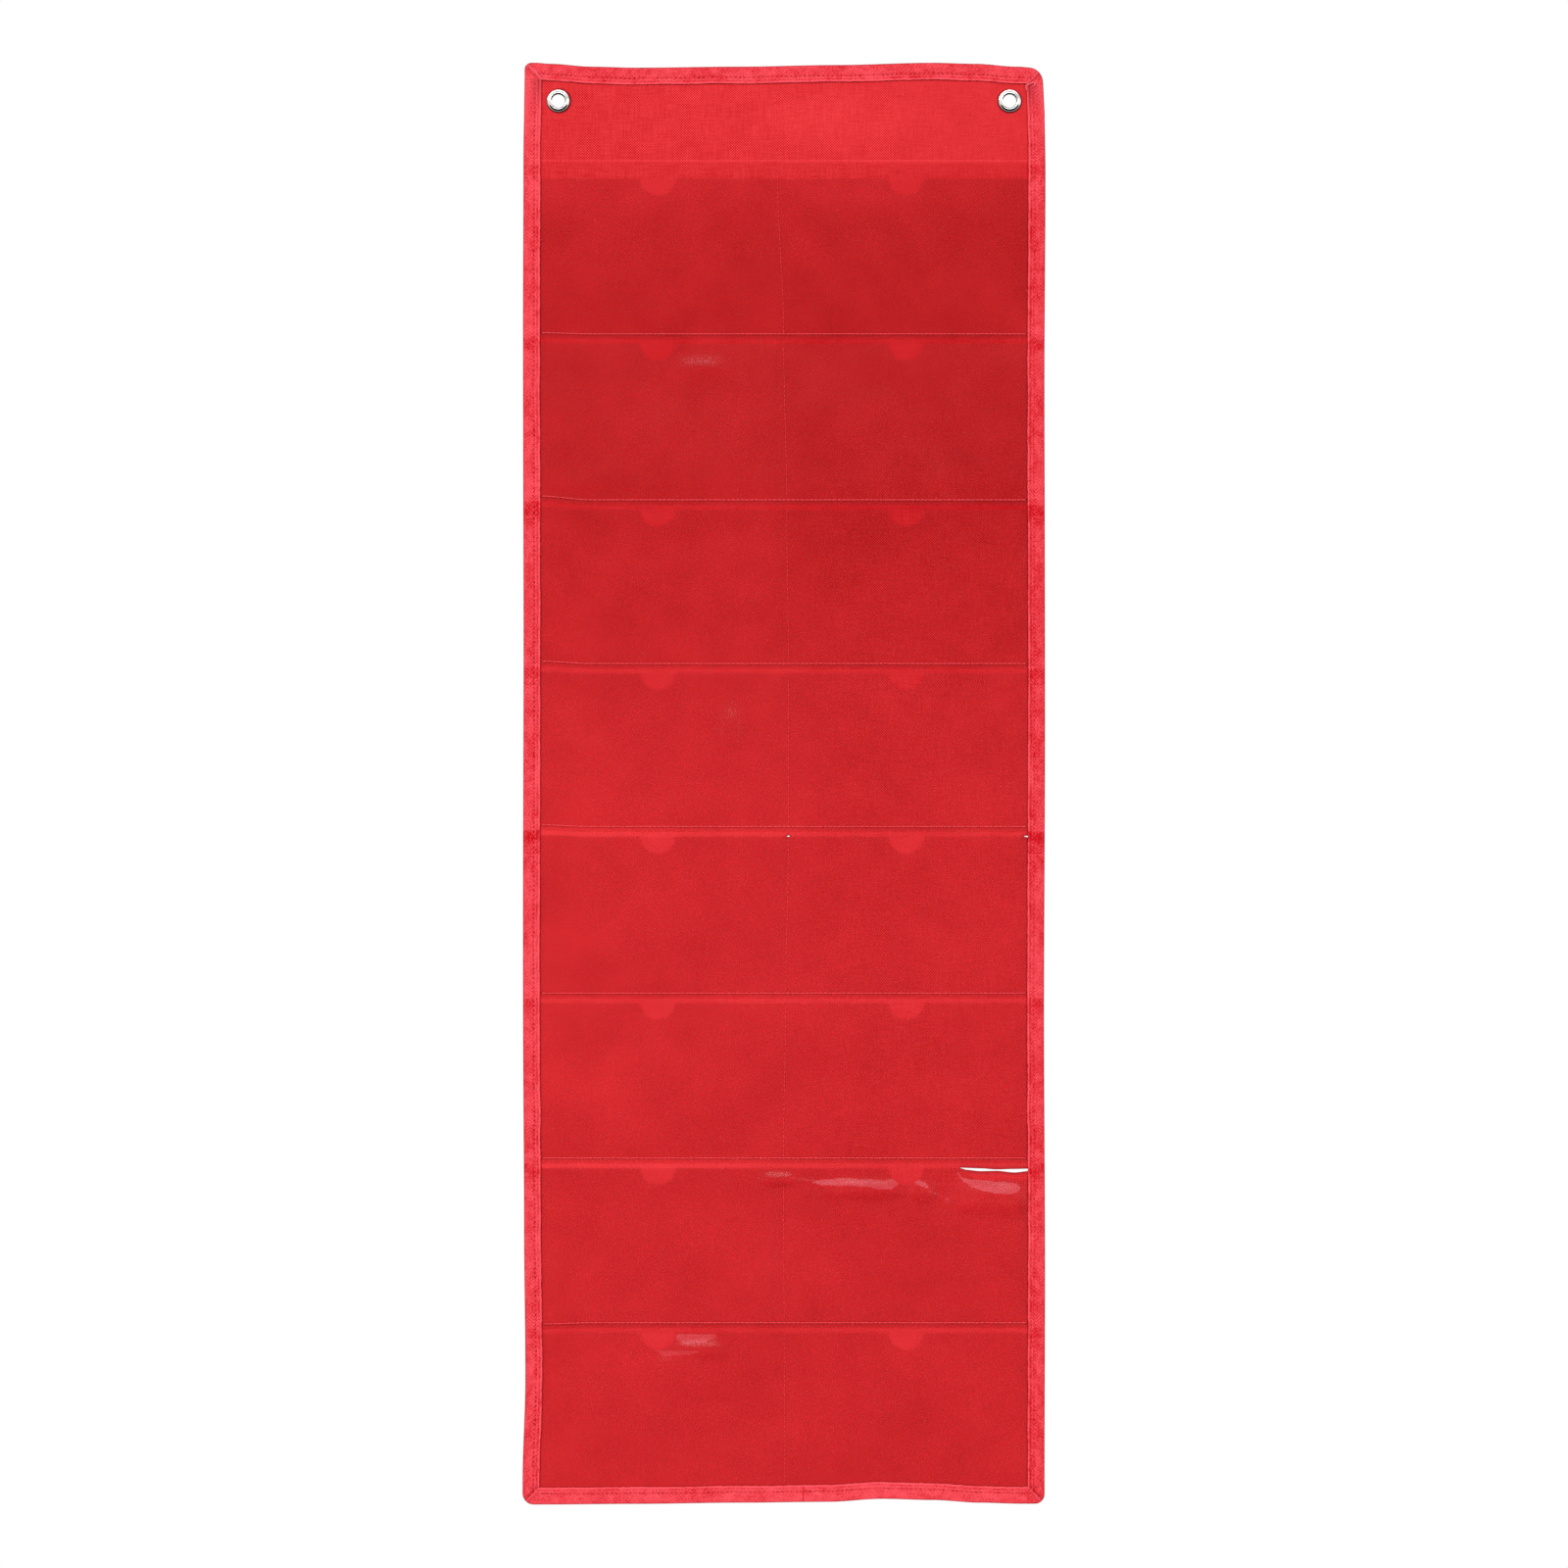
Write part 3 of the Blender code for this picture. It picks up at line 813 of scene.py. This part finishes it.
# Where a row's film shows painted glare, partly hazy: how strong, then places across with the patch's top and
# bottom below the row's top
glare_and_haze_patches = {
    7: [(0.06, metres([(116.4, 3.3, 4.2), (121.4, 6.6, 9.6), (126.7, 7.9, 13.2), (135.3, 8.6, 15.8),
                       (143.2, 9.2, 17.2), (151.8, 9.7, 17.8), (156.4, 10.6, 16.5), (158.4, 12.5, 14.9)])),
        (0.052, metres([(18.5, 9.2, 9.9), (26.4, 7.9, 11.9), (39.6, 6.9, 12.2), (56.1, 7.6, 12.5),
                        (63.4, 8.3, 14.2), (71.3, 7.9, 14.5), (75.2, 6.9, 12.9), (77.2, 9.9, 10.9)])),
        (0.06, metres([(87.1, 8.6, 9.2), (89.8, 7.6, 11.2), (93.7, 9.2, 12.9), (97, 11.9, 13.9)])),
        (0.022, metres([(4.3, 6.2, 6.8), (15, 7.3, 8.6), (28.4, 9.2, 11.2), (39.6, 12.2, 12.8)])),
        (0.018, metres([(93.7, 13.5, 14), (101.6, 16.5, 18.1), (109.5, 20.5, 21.8), (116.1, 23.1, 23.4)]))],
    8: [(0.042, metres([(-72.6, 1.2, 5.1), (-66, 1.5, 7.8), (-56.1, 1.5, 7.1), (-48.2, 1.5, 4.8),
                        (-44.9, 1.8, 2.8)])),
        (0.028, metres([(-87.1, 11.7, 12.4), (-81.8, 12.1, 15.7), (-66, 12.1, 15.4), (-58.1, 12.4, 13.4)]))],
}
glare_patch_edge = 0.0004
fine_cell = 0.0008
fine_depth = 0.02
# How far the mouth of a row's film sags, by the place across, and how far down it shows
mouth_sags = {7: metres([(115.5, 0), (122, 3.5), (129, 7.6), (140, 8.2), (160.5, 8), (166, 6)])}
sag_depth = 0.022


def film_depth(row, x, height):
    """The film's middle: flat on the cloth along the seams, full over the pockets, a little rippled."""
    full = seam_share(half_width - tape_width - abs(x)) * seam_share(abs(x - along(centre_seam, height)))
    full *= seam_share(height - seam_height(row))
    ripple = uneven(x * 34, row * 7.1, height * 46) * 0.5
    ripple += uneven(x * 90, row * 3.7, height * 60) * 0.2
    rise = pocket_rise * full * (0.72 + ripple * 0.5)
    for across, below, half_wide, half_high, swell in bulges.get(row, []):
        aside = (x - across) / half_wide
        up = (film_top(row) - below - height) / half_high
        rise += swell * exp(-aside**4 - up * up)
    return film_rest - rise


def patch_glare_and_haze(row, x, height):
    """How strong the film's painted glare is at a place, partly hazy, paler along the rims of its patches."""
    below = film_top(row) - height
    haze_and_glare = 0.0
    for strength, outline in glare_and_haze_patches.get(row, []):
        if not outline[0][0] < x < outline[-1][0]:
            continue
        top = along([(place, upper) for place, upper, _ in outline], x)
        bottom = along([(place, lower) for place, _, lower in outline], x)
        inside = min(below - top, bottom - below)
        cloudy = 1.0 + 0.5 * uneven(x * 130, row * 5.3, height * 420)
        rim = 0.5 * hump(inside, glare_patch_edge, glare_patch_edge)
        haze_and_glare += strength * (cloudy * between(inside, 0.0, glare_patch_edge) + rim)
    return haze_and_glare


def pocket_film(row):
    """One row's film, notched over both pockets."""
    has_glare_patches = row in glare_and_haze_patches
    last = row == row_count
    top = film_top(row) - 0.0002
    bottom = bottom_edge + sheet_inset if last else seam_height(row) - hem_height
    bm = outline_face(sheet_outline(bottom, top, "bottom" if last else None, notch_centres))
    slice_up(bm, even_places(-sheet_side, sheet_side, fine_cell if has_glare_patches else film_cell), "x")
    slice_up(bm, even_places(bottom, top, film_cell), "z")
    if has_glare_patches:
        slice_up(bm, even_places(top - fine_depth, top, fine_cell), "z")
    map_to_cloth(bm)
    for vert in bm.verts:
        if row in mouth_sags:
            vert.co.z -= along(mouth_sags[row], vert.co.x) * between(vert.co.z, top - sag_depth, top)
        vert.co.y = film_depth(row, vert.co.x, vert.co.z)
    # Painted glare, partly hazy, on the film's bulges
    paint(bm, "haze_and_glare", lambda place: patch_glare_and_haze(row, place.x, place.z))
    bmesh.ops.triangulate(bm, faces=[face for face in bm.faces if len(face.verts) > 4])
    piece = finish_piece(bm, f"row_{row}_pocket_film", film)
    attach(piece, body(row))
    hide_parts(f"row_{row}_film")
    if has_glare_patches:
        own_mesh(piece)


# Binding tape

# The chart's two ends: name, row, level, the way in, and what keeps their tape's unevenness apart
End = namedtuple("End", "name row level inward offset")
ends = {"top": End("header", 0, top_edge, -1, 0), "bottom": End("foot", row_count, bottom_edge, 1, 3)}
lap_places = (0.0137, 0.0257)
tape_marks = ("tone", "shade", "sewn", "pressed")


def tape_section():
    """The folded tape's section, as (inset from the outer edge, depth), from the front lip round to it."""
    outside = (tape_back - tape_front) / 2
    inside = outside - tape_thickness
    turn = [pi / 2 + pi * step / fold_steps for step in range(fold_steps + 1)]
    points = [(inset, tape_front + tape_thickness + depth) for inset, depth in tape_leg]
    points += [(outside + outside * cos(angle), tape_middle - outside * sin(angle)) for angle in turn]
    points += [(inset, tape_back - tape_thickness - depth) for inset, depth in reversed(tape_leg)]
    points += [(outside + inside * cos(angle), tape_middle + inside * sin(angle)) for angle in turn]
    return points


section = tape_section()
section_lengths = [0.0]
for first, second in zip(section, section[1:] + section[:1]):
    section_lengths.append(section_lengths[-1] + hypot(second[0] - first[0], second[1] - first[1]))
seam_line = next(length for length, (inset, _) in zip(section_lengths, section) if inset <= stitch_inset)
tape = tape_finish()


def side_crease(distance):
    """Painted light and shade where the tape is folded, paler above each fold, deeper below it and with bright
    lines along it, and how far it is pressed.
    """
    folds = [(distance + fold_height(row) + 0.0035 * (row > 1), row) for row in joints]
    past, fold = min(folds, key=lambda at: abs(at[0]))
    shade_wobble = 0.16 * uneven(past * 240, fold * 5.3, 0)
    pale = hump(past, -0.0045, 0.0065)
    deep = hump(past, 0.0048, 0.0075) * (0.28 + shade_wobble)
    lines = 0.25 * hump(past, 0.0, 0.0009) + 0.2 * hump(past, 0.0085, 0.0009)
    lines += 0.12 * hump(past, 0.0035, 0.0008)
    return 0.2 * pale - deep + lines, pale


def tape_tone_and_light(distance, inset, depth, crease=0.0):
    """The tape's tone at a point of its section, from 0 to 1: a painted highlight along the raised lip, painted
    light and shade in stripes beside it and painted shade along the stitch line.
    """
    face = 1.0 if depth < tape_middle else -1.0
    tone = 0.56 + crease + 0.2 * uneven(distance * 35, face, inset * 60)
    tone += 0.34 * uneven(distance * 230, face * 2.5, inset * 280)
    lip_highlight = 0.56 + 0.5 * uneven(distance * 430, face * 7.5, 0)
    tone += lip_highlight * hump(inset, 0.0108, 0.0009)
    tone += 0.22 * hump(inset, 0.0083, 0.0007) - 0.22 * hump(inset, 0.0096, 0.0007)
    return tone - 0.3 * hump(inset, stitch_inset, 0.0009)


def hole_share(distance, depth):
    """How plainly the needle holes show along the tape: unevenly."""
    face = 1.0 if depth < tape_middle else -1.0
    return min(max(0.6 + 1.3 * uneven(distance * 150, face * 3.1, 6.0), 0.15), 1.0)


def tape_shade(inset):
    """Darker where the tape turns round the edge."""
    return 1.0 - 0.4 * between(inset, 0.0008, 0.0001)


def lip_wobble(distance):
    """How far the tape's lip strays at a distance along the edge, in waves and small puckers."""
    puckers = uneven(distance * 330, 9.1, 0) + uneven(distance * 620, 4.7, 0) * 0.6
    return 0.0004 * uneven(distance * 55, 3.3, 0) + 0.00022 * puckers


def raised(depth, rise):
    """A depth of the section, moved away from the tape's middle."""
    return depth + (rise if depth > tape_middle else -rise)


def tape_point(edge_point, inward, inset, depth, distance):
    """A point of the section at a place on the outer edge."""
    wide = inset * (1 + lip_wobble(distance) / tape_width)
    swell = 0.00006 * uneven(distance * 330, 2.2, inset * 300)
    return Vector((edge_point[0] + inward[0] * wide, raised(depth, swell), edge_point[1] + inward[1] * wide))


# A place along the tape: its section's points, how far along the tape each lies, the painted light and shade of
# its fold, each point's painted highlight and shade, how plainly its needle holes show and how far it is
# pressed
Station = namedtuple("Station", "points distances crease marks sewn pressed", defaults=(0.0, None, 1.0, 0.0))


def swept_tape(name, stations):
    """The tape along its stations."""
    bm = bmesh.new()
    layer = bm.loops.layers.uv.new("cloth")
    tones, shades, sewn, pressed = [bm.verts.layers.float.new(mark) for mark in tape_marks]
    rings = []
    for station in stations:
        ring = [bm.verts.new(point) for point in station.points]
        marks = station.marks or [(0.0, 1.0)] * len(section)
        for vert, (inset, depth), distance, (pale, dark) in zip(ring, section, station.distances, marks):
            # Painted light on the upper parts of the side tapes and painted shade on the right-hand tape
            right = between(vert.co.x, 0.155, 0.165)
            pale += 0.14 * between(abs(vert.co.x), 0.155, 0.165) * between(vert.co.z, -0.05, -0.01)
            pale -= (0.09 + 0.12 * hump(inset, 0.0095, 0.002)) * right
            vert[tones] = tape_tone_and_light(distance, inset, depth, station.crease) + pale
            vert[shades] = tape_shade(inset) * dark
            vert[sewn] = station.sewn * hole_share(distance, depth) * (1.0 - 0.6 * right)
            vert[pressed] = station.pressed
        rings.append(ring)
    count = len(section)
    for index in range(len(rings) - 1):
        for step in range(count):
            after = (step + 1) % count
            above, below = rings[index:index + 2]
            corners = (above[step], above[after], below[after], below[step])
            if len({vert.co.to_tuple(7) for vert in corners}) < 3:
                continue
            face = bm.faces.new(corners)
            places = ((index, step), (index, step + 1), (index + 1, step + 1), (index + 1, step))
            for loop, (ring, point) in zip(face.loops, places):
                loop[layer].uv = (stations[ring].distances[point % count], section_lengths[point])
    bmesh.ops.remove_doubles(bm, verts=bm.verts, dist=0.000002)
    bmesh.ops.recalc_face_normals(bm, faces=bm.faces)
    return finish_piece(bm, name, tape, smooth=50.0)


def side_station(hand, height):
    sign, distance = sides[hand], -height
    points = [tape_point((sign * half_width, height), (-sign, 0), inset, depth, distance)
              for inset, depth in section]
    crease, pressed = side_crease(distance)
    return Station(points, [distance] * len(section), crease, pressed=pressed)


def edge_station(end, x, rise=0.0, crease=0.0):
    distance = x + ends[end].offset
    points = [tape_point((x, ends[end].level), (0, ends[end].inward), inset, raised(depth, rise), distance)
              for inset, depth in section]
    return Station(points, [distance] * len(section), crease)


def corner_stations(hand, end):
    """Round a corner from the side to the end: rounded outside, mitred inside, the end's part on top."""
    radius = corner_radii[hand, end]
    straight = []
    if radius < lip_inset:
        straight = [lip_inset, *reversed(even_places(radius, lip_inset, corner_step))]
    turns = [radians(angle) for angle in (*range(0, 42, 4), 42, 45)]
    stations = [corner_station(hand, end, lambda inset: (inset, max(inset, down)), False)
                for down in straight]
    for past in (False, True):
        for turn in turns if not past else [pi / 2 - turn for turn in reversed(turns)]:
            def rounded(inset):
                pivot = max(radius, inset)
                reach = pivot - inset
                return pivot - reach * cos(turn), pivot - reach * sin(turn)
            stations.append(corner_station(hand, end, rounded, past))
    for across in reversed(straight):
        stations.append(corner_station(hand, end, lambda inset: (max(inset, across), inset), True))
    return stations


def corner_station(hand, end, place, past):
    """One station at a corner. Its place gives the distances from the side and from the end, by the inset."""
    points, distances, marks = [], [], []
    for inset, depth in section:
        across, down = place(inset)
        x, height = sides[hand] * (half_width - across), ends[end].level + ends[end].inward * down
        points.append(Vector((x, raised(depth, mitre_rise if past else 0.0), height)))
        distances.append(x + ends[end].offset if past else -height)
        marks.append(mitre_light_and_shade(across, down))
    return Station(points, distances, marks=marks, sewn=0.0)


def mitre_light_and_shade(across, down):
    """Painted highlight and shade at a mitre, by the distances from the side and from the end of the chart: a
    highlight along the fold, shade beside it and under the end's lip.
    """
    off = (down - across) / 2**0.5
    pale = 0.35 * hump(off, 0.0, 0.0009)
    dark = 0.34 * hump(off, 0.0013, 0.0011) + 0.22 * hump(off, -0.0014, 0.0009)
    dark += 0.34 * hump(down, 0.0118, 0.0011) * between(across, 0.003, 0.005)
    return pale, 1.0 - min(dark, 0.4)


def side_stations(hand, top, bottom):
    """Down one side, a tape step apart."""
    heights = [top, *reversed(even_places(bottom, top, tape_step)), bottom]
    return [side_station(hand, height) for height in heights]


def side_binding(hand, fold):
    """The tape down one side from the middle of one row to the middle of the next, across a fold."""
    stations = side_stations(hand, middle_height(fold - 1), middle_height(fold))
    piece = swept_tape(f"fold_{fold}_{hand}_binding", stations)
    bend_at(piece, fold)
    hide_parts(f"row_{fold}_{hand}_tape" if fold < row_count else f"row_{row_count}_tape")


def end_binding(end):
    """The tape round the top of the header, or round the foot of the last row, from side to side."""
    name, row, level, inward, _ = ends[end]
    runs = []
    for hand in sides:
        near = level + inward * max(corner_radii[hand, end], lip_inset)
        runs.append(side_stations(hand, middle_height(row), near)[:-1] + corner_stations(hand, end))
    piece = swept_tape(f"{name}_binding", [*runs[0], *edge_run(end), *reversed(runs[1])])
    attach(piece, body(row))
    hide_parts(f"{body(row)}_tape")


def edge_run(end):
    """Along the top or bottom between its corners, with the lapped end on the bottom."""
    limit = half_width - lip_inset - 0.0002
    places = [-limit, *even_places(-limit, limit, tape_step), limit]
    start, stop = lap_places
    if end == "bottom":
        places += [start - 0.0004, start, stop, stop + 0.0006]
    stations = []
    for x in sorted(places):
        rise = mitre_rise * between(abs(x), limit - 0.012, limit)
        crease = 0.0
        if end == "bottom":
            rise += tape_thickness * 0.7 * between(x, start - 0.0004, start) * between(x, stop + 0.0006, stop)
            # Painted shade along both edges of the lapped end; the rest of the bottom tape a little paler
            crease = 0.09 - 0.5 * hump(x, start - 0.0006, 0.0007) - 0.2 * hump(x, stop + 0.0008, 0.0006)
        stations.append(edge_station(end, x, rise, crease))
    return stations


stitch_length = 0.0031
row_stitch_length = stitch_length * 1.15
tape_stitch_length = 0.0024
centre_stitch_length = 0.0022
loose_stitch_length = 0.0021
loose_step = 0.0009
loose_rise = 0.0008
thread_radius = 0.0003
thick_radius = 0.00045
fine_radius = thread_radius * 0.65


def stitch_places(low, high):
    """The places of the stitches between two points, a pitch apart."""
    first, past = round(low / stitch_pitch) + 1, round(high / stitch_pitch)
    return [index * stitch_pitch for index in range(first, past)]


def stitch_shape():
    """One stitch's points and faces: a short thread that dips at both ends."""
    bm = bmesh.new()
    bmesh.ops.create_uvsphere(bm, u_segments=6, v_segments=5, radius=1)
    bmesh.ops.rotate(bm, verts=bm.verts, matrix=Matrix.Rotation(pi / 2, 3, "Y"))
    points = [vert.co.copy() for vert in bm.verts]
    faces = [[vert.index for vert in face.verts] for face in bm.faces]
    bm.free()
    return points, faces


stitch_points, stitch_faces = stitch_shape()


def add_stitch(bm, centre, direction, depth, length=stitch_length, radius=thread_radius):
    """A stitch at a place of the straight chart, along a direction in its plane."""
    side = Vector((direction[1], 0, -direction[0]))
    run = Vector((direction[0], 0, direction[1]))
    verts = []
    for point in stitch_points:
        place = Vector((centre[0], depth, centre[1]))
        place += run * point.x * length / 2 + side * point.z * radius
        place.y += point.y * radius
        verts.append(bm.verts.new(place))
    for face in stitch_faces:
        bm.faces.new([verts[index] for index in face])


def thread_piece(name, bm, row=None, fold=None, material=thread):
    """Makes the stitches a piece that rides on a row's body, or bends across a fold."""
    bmesh.ops.recalc_face_normals(bm, faces=bm.faces)
    piece = finish_piece(bm, name, material, smooth=60.0)
    if fold:
        bend_at(piece, fold)
    else:
        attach(piece, body(row))


def row_seam(row):
    """The seam that closes a row's pockets, on both faces of the cloth."""
    bm = bmesh.new()
    height = seam_height(row)
    for x in stitch_places(tape_width - half_width, half_width - tape_width):
        add_stitch(bm, (x, height), (1, 0), film_rest - film_thickness, row_stitch_length, thick_radius)
        add_stitch(bm, (x, height), (1, 0), cloth_thickness / 2 + thread_radius / 2)
    thread_piece(f"row_{row}_seam_thread", bm, row)


def centre_thread(row):
    """The seam up the middle of a row, through film and cloth."""
    bm = bmesh.new()
    top = film_top(row) if row else top_edge - tape_width
    bottom = crease_height if row == 0 else seam_height(row) if row < row_count else bottom_edge + tape_width
    front = film_rest - film_thickness if row else -cloth_thickness / 2 - fine_radius / 3
    for height in stitch_places(bottom, top):
        lean = along(centre_seam, height + 0.002) - along(centre_seam, height - 0.002)
        direction = Vector((lean, 0.004)).normalized()
        for depth in (front, cloth_thickness / 2 + fine_radius / 2):
            place = (along(centre_seam, height), height)
            add_stitch(bm, place, direction, depth, centre_stitch_length, fine_radius)
    thread_piece(f"{body(row)}_centre_thread", bm, row)


def tape_stitches(places):
    """Stitches on both faces of the tape, at these places and directions."""
    bm = bmesh.new()
    for place, direction in places:
        for depth in (tape_front + thread_radius, tape_back - thread_radius):
            add_stitch(bm, place, direction, depth, tape_stitch_length)
    return bm


def side_stitches(hand, fold):
    """The binding's seam down one side, from the middle of one row to the middle of the next."""
    x = sides[hand] * (half_width - stitch_inset)
    heights = stitch_places(middle_height(fold), middle_height(fold - 1))
    bm = tape_stitches([((x, height), (0, 1)) for height in heights])
    thread_piece(f"fold_{fold}_{hand}_stitching", bm, fold=fold)


def end_stitches(end):
    """The binding's seam along the top or the bottom, and down or up to the middle of the next row."""
    name, row, level, inward, _ = ends[end]
    line = level + inward * stitch_inset
    limit = half_width - stitch_inset
    places = [((x, line), (1, 0)) for x in stitch_places(-limit, limit)]
    heights = stitch_places(*sorted((middle_height(row), line)))
    places += [((sign * limit, height), (0, 1)) for sign in sides.values() for height in heights]
    thread_piece(f"{name}_stitching", tape_stitches(places), row)


# The thread over the top's left mitre, and its tail curled on the right one: (across, height)
mitre_thread = metres([(-172.8, 23.6), (-170.3, 20.8), (-168.3, 19.1), (-166.3, 16.8), (-163.7, 14.2)])
curled_tail = metres([(163.7, 8.3), (163.5, 11.9), (165, 13.1), (167, 14.2), (169, 15.2), (170.1, 14.2),
                      (169.6, 12.8), (168.2, 12.1)])


def loose_ends():
    bm = bmesh.new()
    for points in (mitre_thread, curled_tail):
        for start, end in zip(points, points[1:]):
            run = Vector(end) - Vector(start)
            count = round(run.length / loose_step)
            for step in range(count):
                place = Vector(start) + run * (step + 0.5) / count
                depth = tape_front - loose_rise
                add_stitch(bm, place, run.normalized(), depth, loose_stitch_length, thick_radius)
    thread_piece("header_loose_thread", bm, 0, material=loose_thread)


eyelet_steps = 96
# An eyelet's section as (radius, depth): its rim, the step up from it, the ring round the throat, and the
# end rolled over at the back
eyelet_section = metres([
    (7.68, -0.34), (7.64, -0.46), (7.56, -0.57), (7.46, -0.66), (7.34, -0.72), (7.2, -0.75), (7, -0.76),
    (6.9, -0.77), (6.82, -0.8), (6.74, -0.87), (6.6, -0.98), (6.2, -1.24), (6, -1.36), (5.8, -1.44),
    (5.6, -1.48), (5.4, -1.48), (5.2, -1.42), (5.02, -1.28), (4.64, -0.5), (4.52, 0.3), (4.42, 1),
    (4.5, 1.3), (4.9, 1.5), (5.5, 1.56), (5.9, 1.5), (6.15, 1.3), (6.22, 1.08), (5.3, 1.04), (5.3, -0.34)])


def shade_and_dullness(radius, depth):
    """Painted shade at a place of the section, where the plate is also duller: lightly over the back, in the
    throat, and where the rim meets the cloth.
    """
    if depth > 0.0004:
        return 0.3
    return max(0.8 * between(radius, 0.0053, 0.0049), 0.85 * between(radius, 0.0071, 0.0075))


def eyelet(hand, x):
    """An eyelet, its section turned about its axis. Its washer shows as it is in the frame, in nickel."""
    bm = bmesh.new()
    verts = [bm.verts.new((x + radius, depth, 0)) for radius, depth in eyelet_section]
    edges = [bm.edges.new((verts[index - 1], vert)) for index, vert in enumerate(verts)]
    turn = {"cent": (x, 0, 0), "axis": (0, 1, 0), "dvec": (0, 0, 0), "angle": 2 * pi}
    bmesh.ops.spin(bm, geom=verts + edges, steps=eyelet_steps, use_merge=True, **turn)
    bmesh.ops.recalc_face_normals(bm, faces=bm.faces)
    # Painted shade in the throat and round the rim, with a duller plate there
    paint(bm, "shade_and_dullness", lambda place: shade_and_dullness(hypot(place.x - x, place.z), place.y))
    piece = as_object(bm, f"{hand}_nickel_eyelet", nickel, smooth=40.0)
    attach(piece, "header")
    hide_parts(f"{hand}_eyelet")
    washer = frame["nodes"][f"{hand}_eyelet_washer"]
    for index in range(len(washer.data.materials)):
        washer.material_slots[index].link = "OBJECT"
        washer.material_slots[index].material = nickel


# Build

holes = [sign * eyelet_reach for sign in sides.values()]
canvas_sheet("header_canvas", [0, 1], seam_height(1), top_edge - sheet_inset, "top", holes)
for row in range(2, row_count + 1):
    foot, rounded = (seam_height(row), None) if row < row_count else (bottom_edge + sheet_inset, "bottom")
    canvas_sheet(f"row_{row}_canvas", [row], foot, seam_height(row - 1) + seam_lap, rounded)
for row in range(1, row_count + 1):
    pocket_film(row)
    for hand in sides:
        side_binding(hand, row)
        side_stitches(hand, row)
    if row < row_count:
        row_seam(row)
    centre_thread(row)
centre_thread(0)
for end in ends:
    end_binding(end)
    end_stitches(end)
loose_ends()
for hand, x in zip(sides, holes):
    eyelet(hand, x)


# Camera, light and floor

# How much of the plane of the chart the photo shows from side to side
photo_width = 1.056
camera_distance = 5.0
camera_height = -0.46
sensor = 36.0


def look_from_the_photo():
    data = bpy.data.cameras.new("photo camera")
    data.sensor_width = sensor
    data.lens = sensor * camera_distance / photo_width
    camera = linked("photo camera", data)
    camera.location = (0, -camera_distance, camera_height)
    camera.rotation_euler = (pi / 2, 0, 0)
    bpy.context.scene.camera = camera


def softbox(name, place, target, size, power):
    data = bpy.data.lights.new(name, "AREA")
    data.shape = "RECTANGLE"
    data.size, data.size_y = size
    data.energy = power
    lamp = linked(name, data)
    lamp.location = place
    lamp.rotation_euler = (Vector(target) - Vector(place)).to_track_quat("-Z", "Y").to_euler()
    lamp.visible_camera = False


def white_world():
    """Soft fill from all round. Past the chart the camera sees plain white; metal and film reflect a room
    that is dark below and dim straight in front of the chart and behind it."""
    world = bpy.data.worlds.new("studio")
    bpy.context.scene.world = world
    studio = Nodes(world)
    parts = studio.parts(studio.get("Generated", "TexCoord"))
    room = 1.0
    for axis, *ends_of_ramp in room_ramps:
        room = studio.times(room, studio.ramp(parts[axis], *ends_of_ramp))
    path = studio.add("LightPath").outputs
    seen = studio.math("MAXIMUM", path["Is Camera Ray"], room)
    direct = studio.math("MAXIMUM", path["Is Camera Ray"], path["Is Glossy Ray"])
    fill = studio.set(studio.tree.nodes["Background"], Color=pure_white, Strength=fill_strength)
    shown = studio.add("Background", Color=pure_white, Strength=seen)
    studio.close(studio.mix_shaders(direct, fill, shown), "World Output")


fill_strength = 0.44
# How bright the reflected room is along each axis: axis, from, to, and the brightness at both
room_ramps = [("Z", -0.37, -0.22, 0.02, 1.0), ("Z", 0.25, 0.6, 1.0, 0.75), ("Y", -0.985, -0.94, 0.35, 1.0),
              ("Y", 0.94, 0.985, 1.0, 0.35)]
floor_drop = 0.11
floor_half = 1.6


def floor():
    """A pale floor under the chart that keeps its shadow and fades to white further out."""
    bm = bmesh.new()
    bmesh.ops.create_grid(bm, x_segments=1, y_segments=1, size=floor_half)
    bmesh.ops.translate(bm, verts=bm.verts, vec=(0, 0, bottom_edge - floor_drop))
    finish = Finish("pale floor")
    level = finish.stretched(finish.get("Object", "TexCoord"), (1, 1, 0))
    reach = finish.get("Value", "VectorMath", {"operation": "LENGTH"}, Vector=level)
    fade = finish.times(finish.ramp(reach, 0.2, 0.42, 0.5, 1.0), finish.get("Is Camera Ray", "LightPath"))
    white = finish.add("Emission", Color=pure_white, Strength=1.0)
    finish.surface(Base_Color=(0.82, 0.82, 0.82, 1), Roughness=0.9)
    finish.close(finish.mix_shaders(fade, finish.shader, white))
    ground = as_object(bm, "floor", finish.owner)
    ground.visible_glossy = False


look_from_the_photo()
softbox("key", (-2.6, -3.6, 1.6), (0, 0, -0.45), (1.8, 1.8), 88)
softbox("side", (2.8, -3.4, 0.2), (0, 0, -0.5), (1.4, 1.4), 26)
softbox("far", (0, -7, 2.4), (0, 0, -0.7), (3.0, 1.6), 95)
softbox("back", (2.2, 3.2, 1.0), (0, 0, -0.45), (1.6, 1.6), 80)
white_world()
floor()
bpy.context.scene.view_settings.view_transform = "Standard"
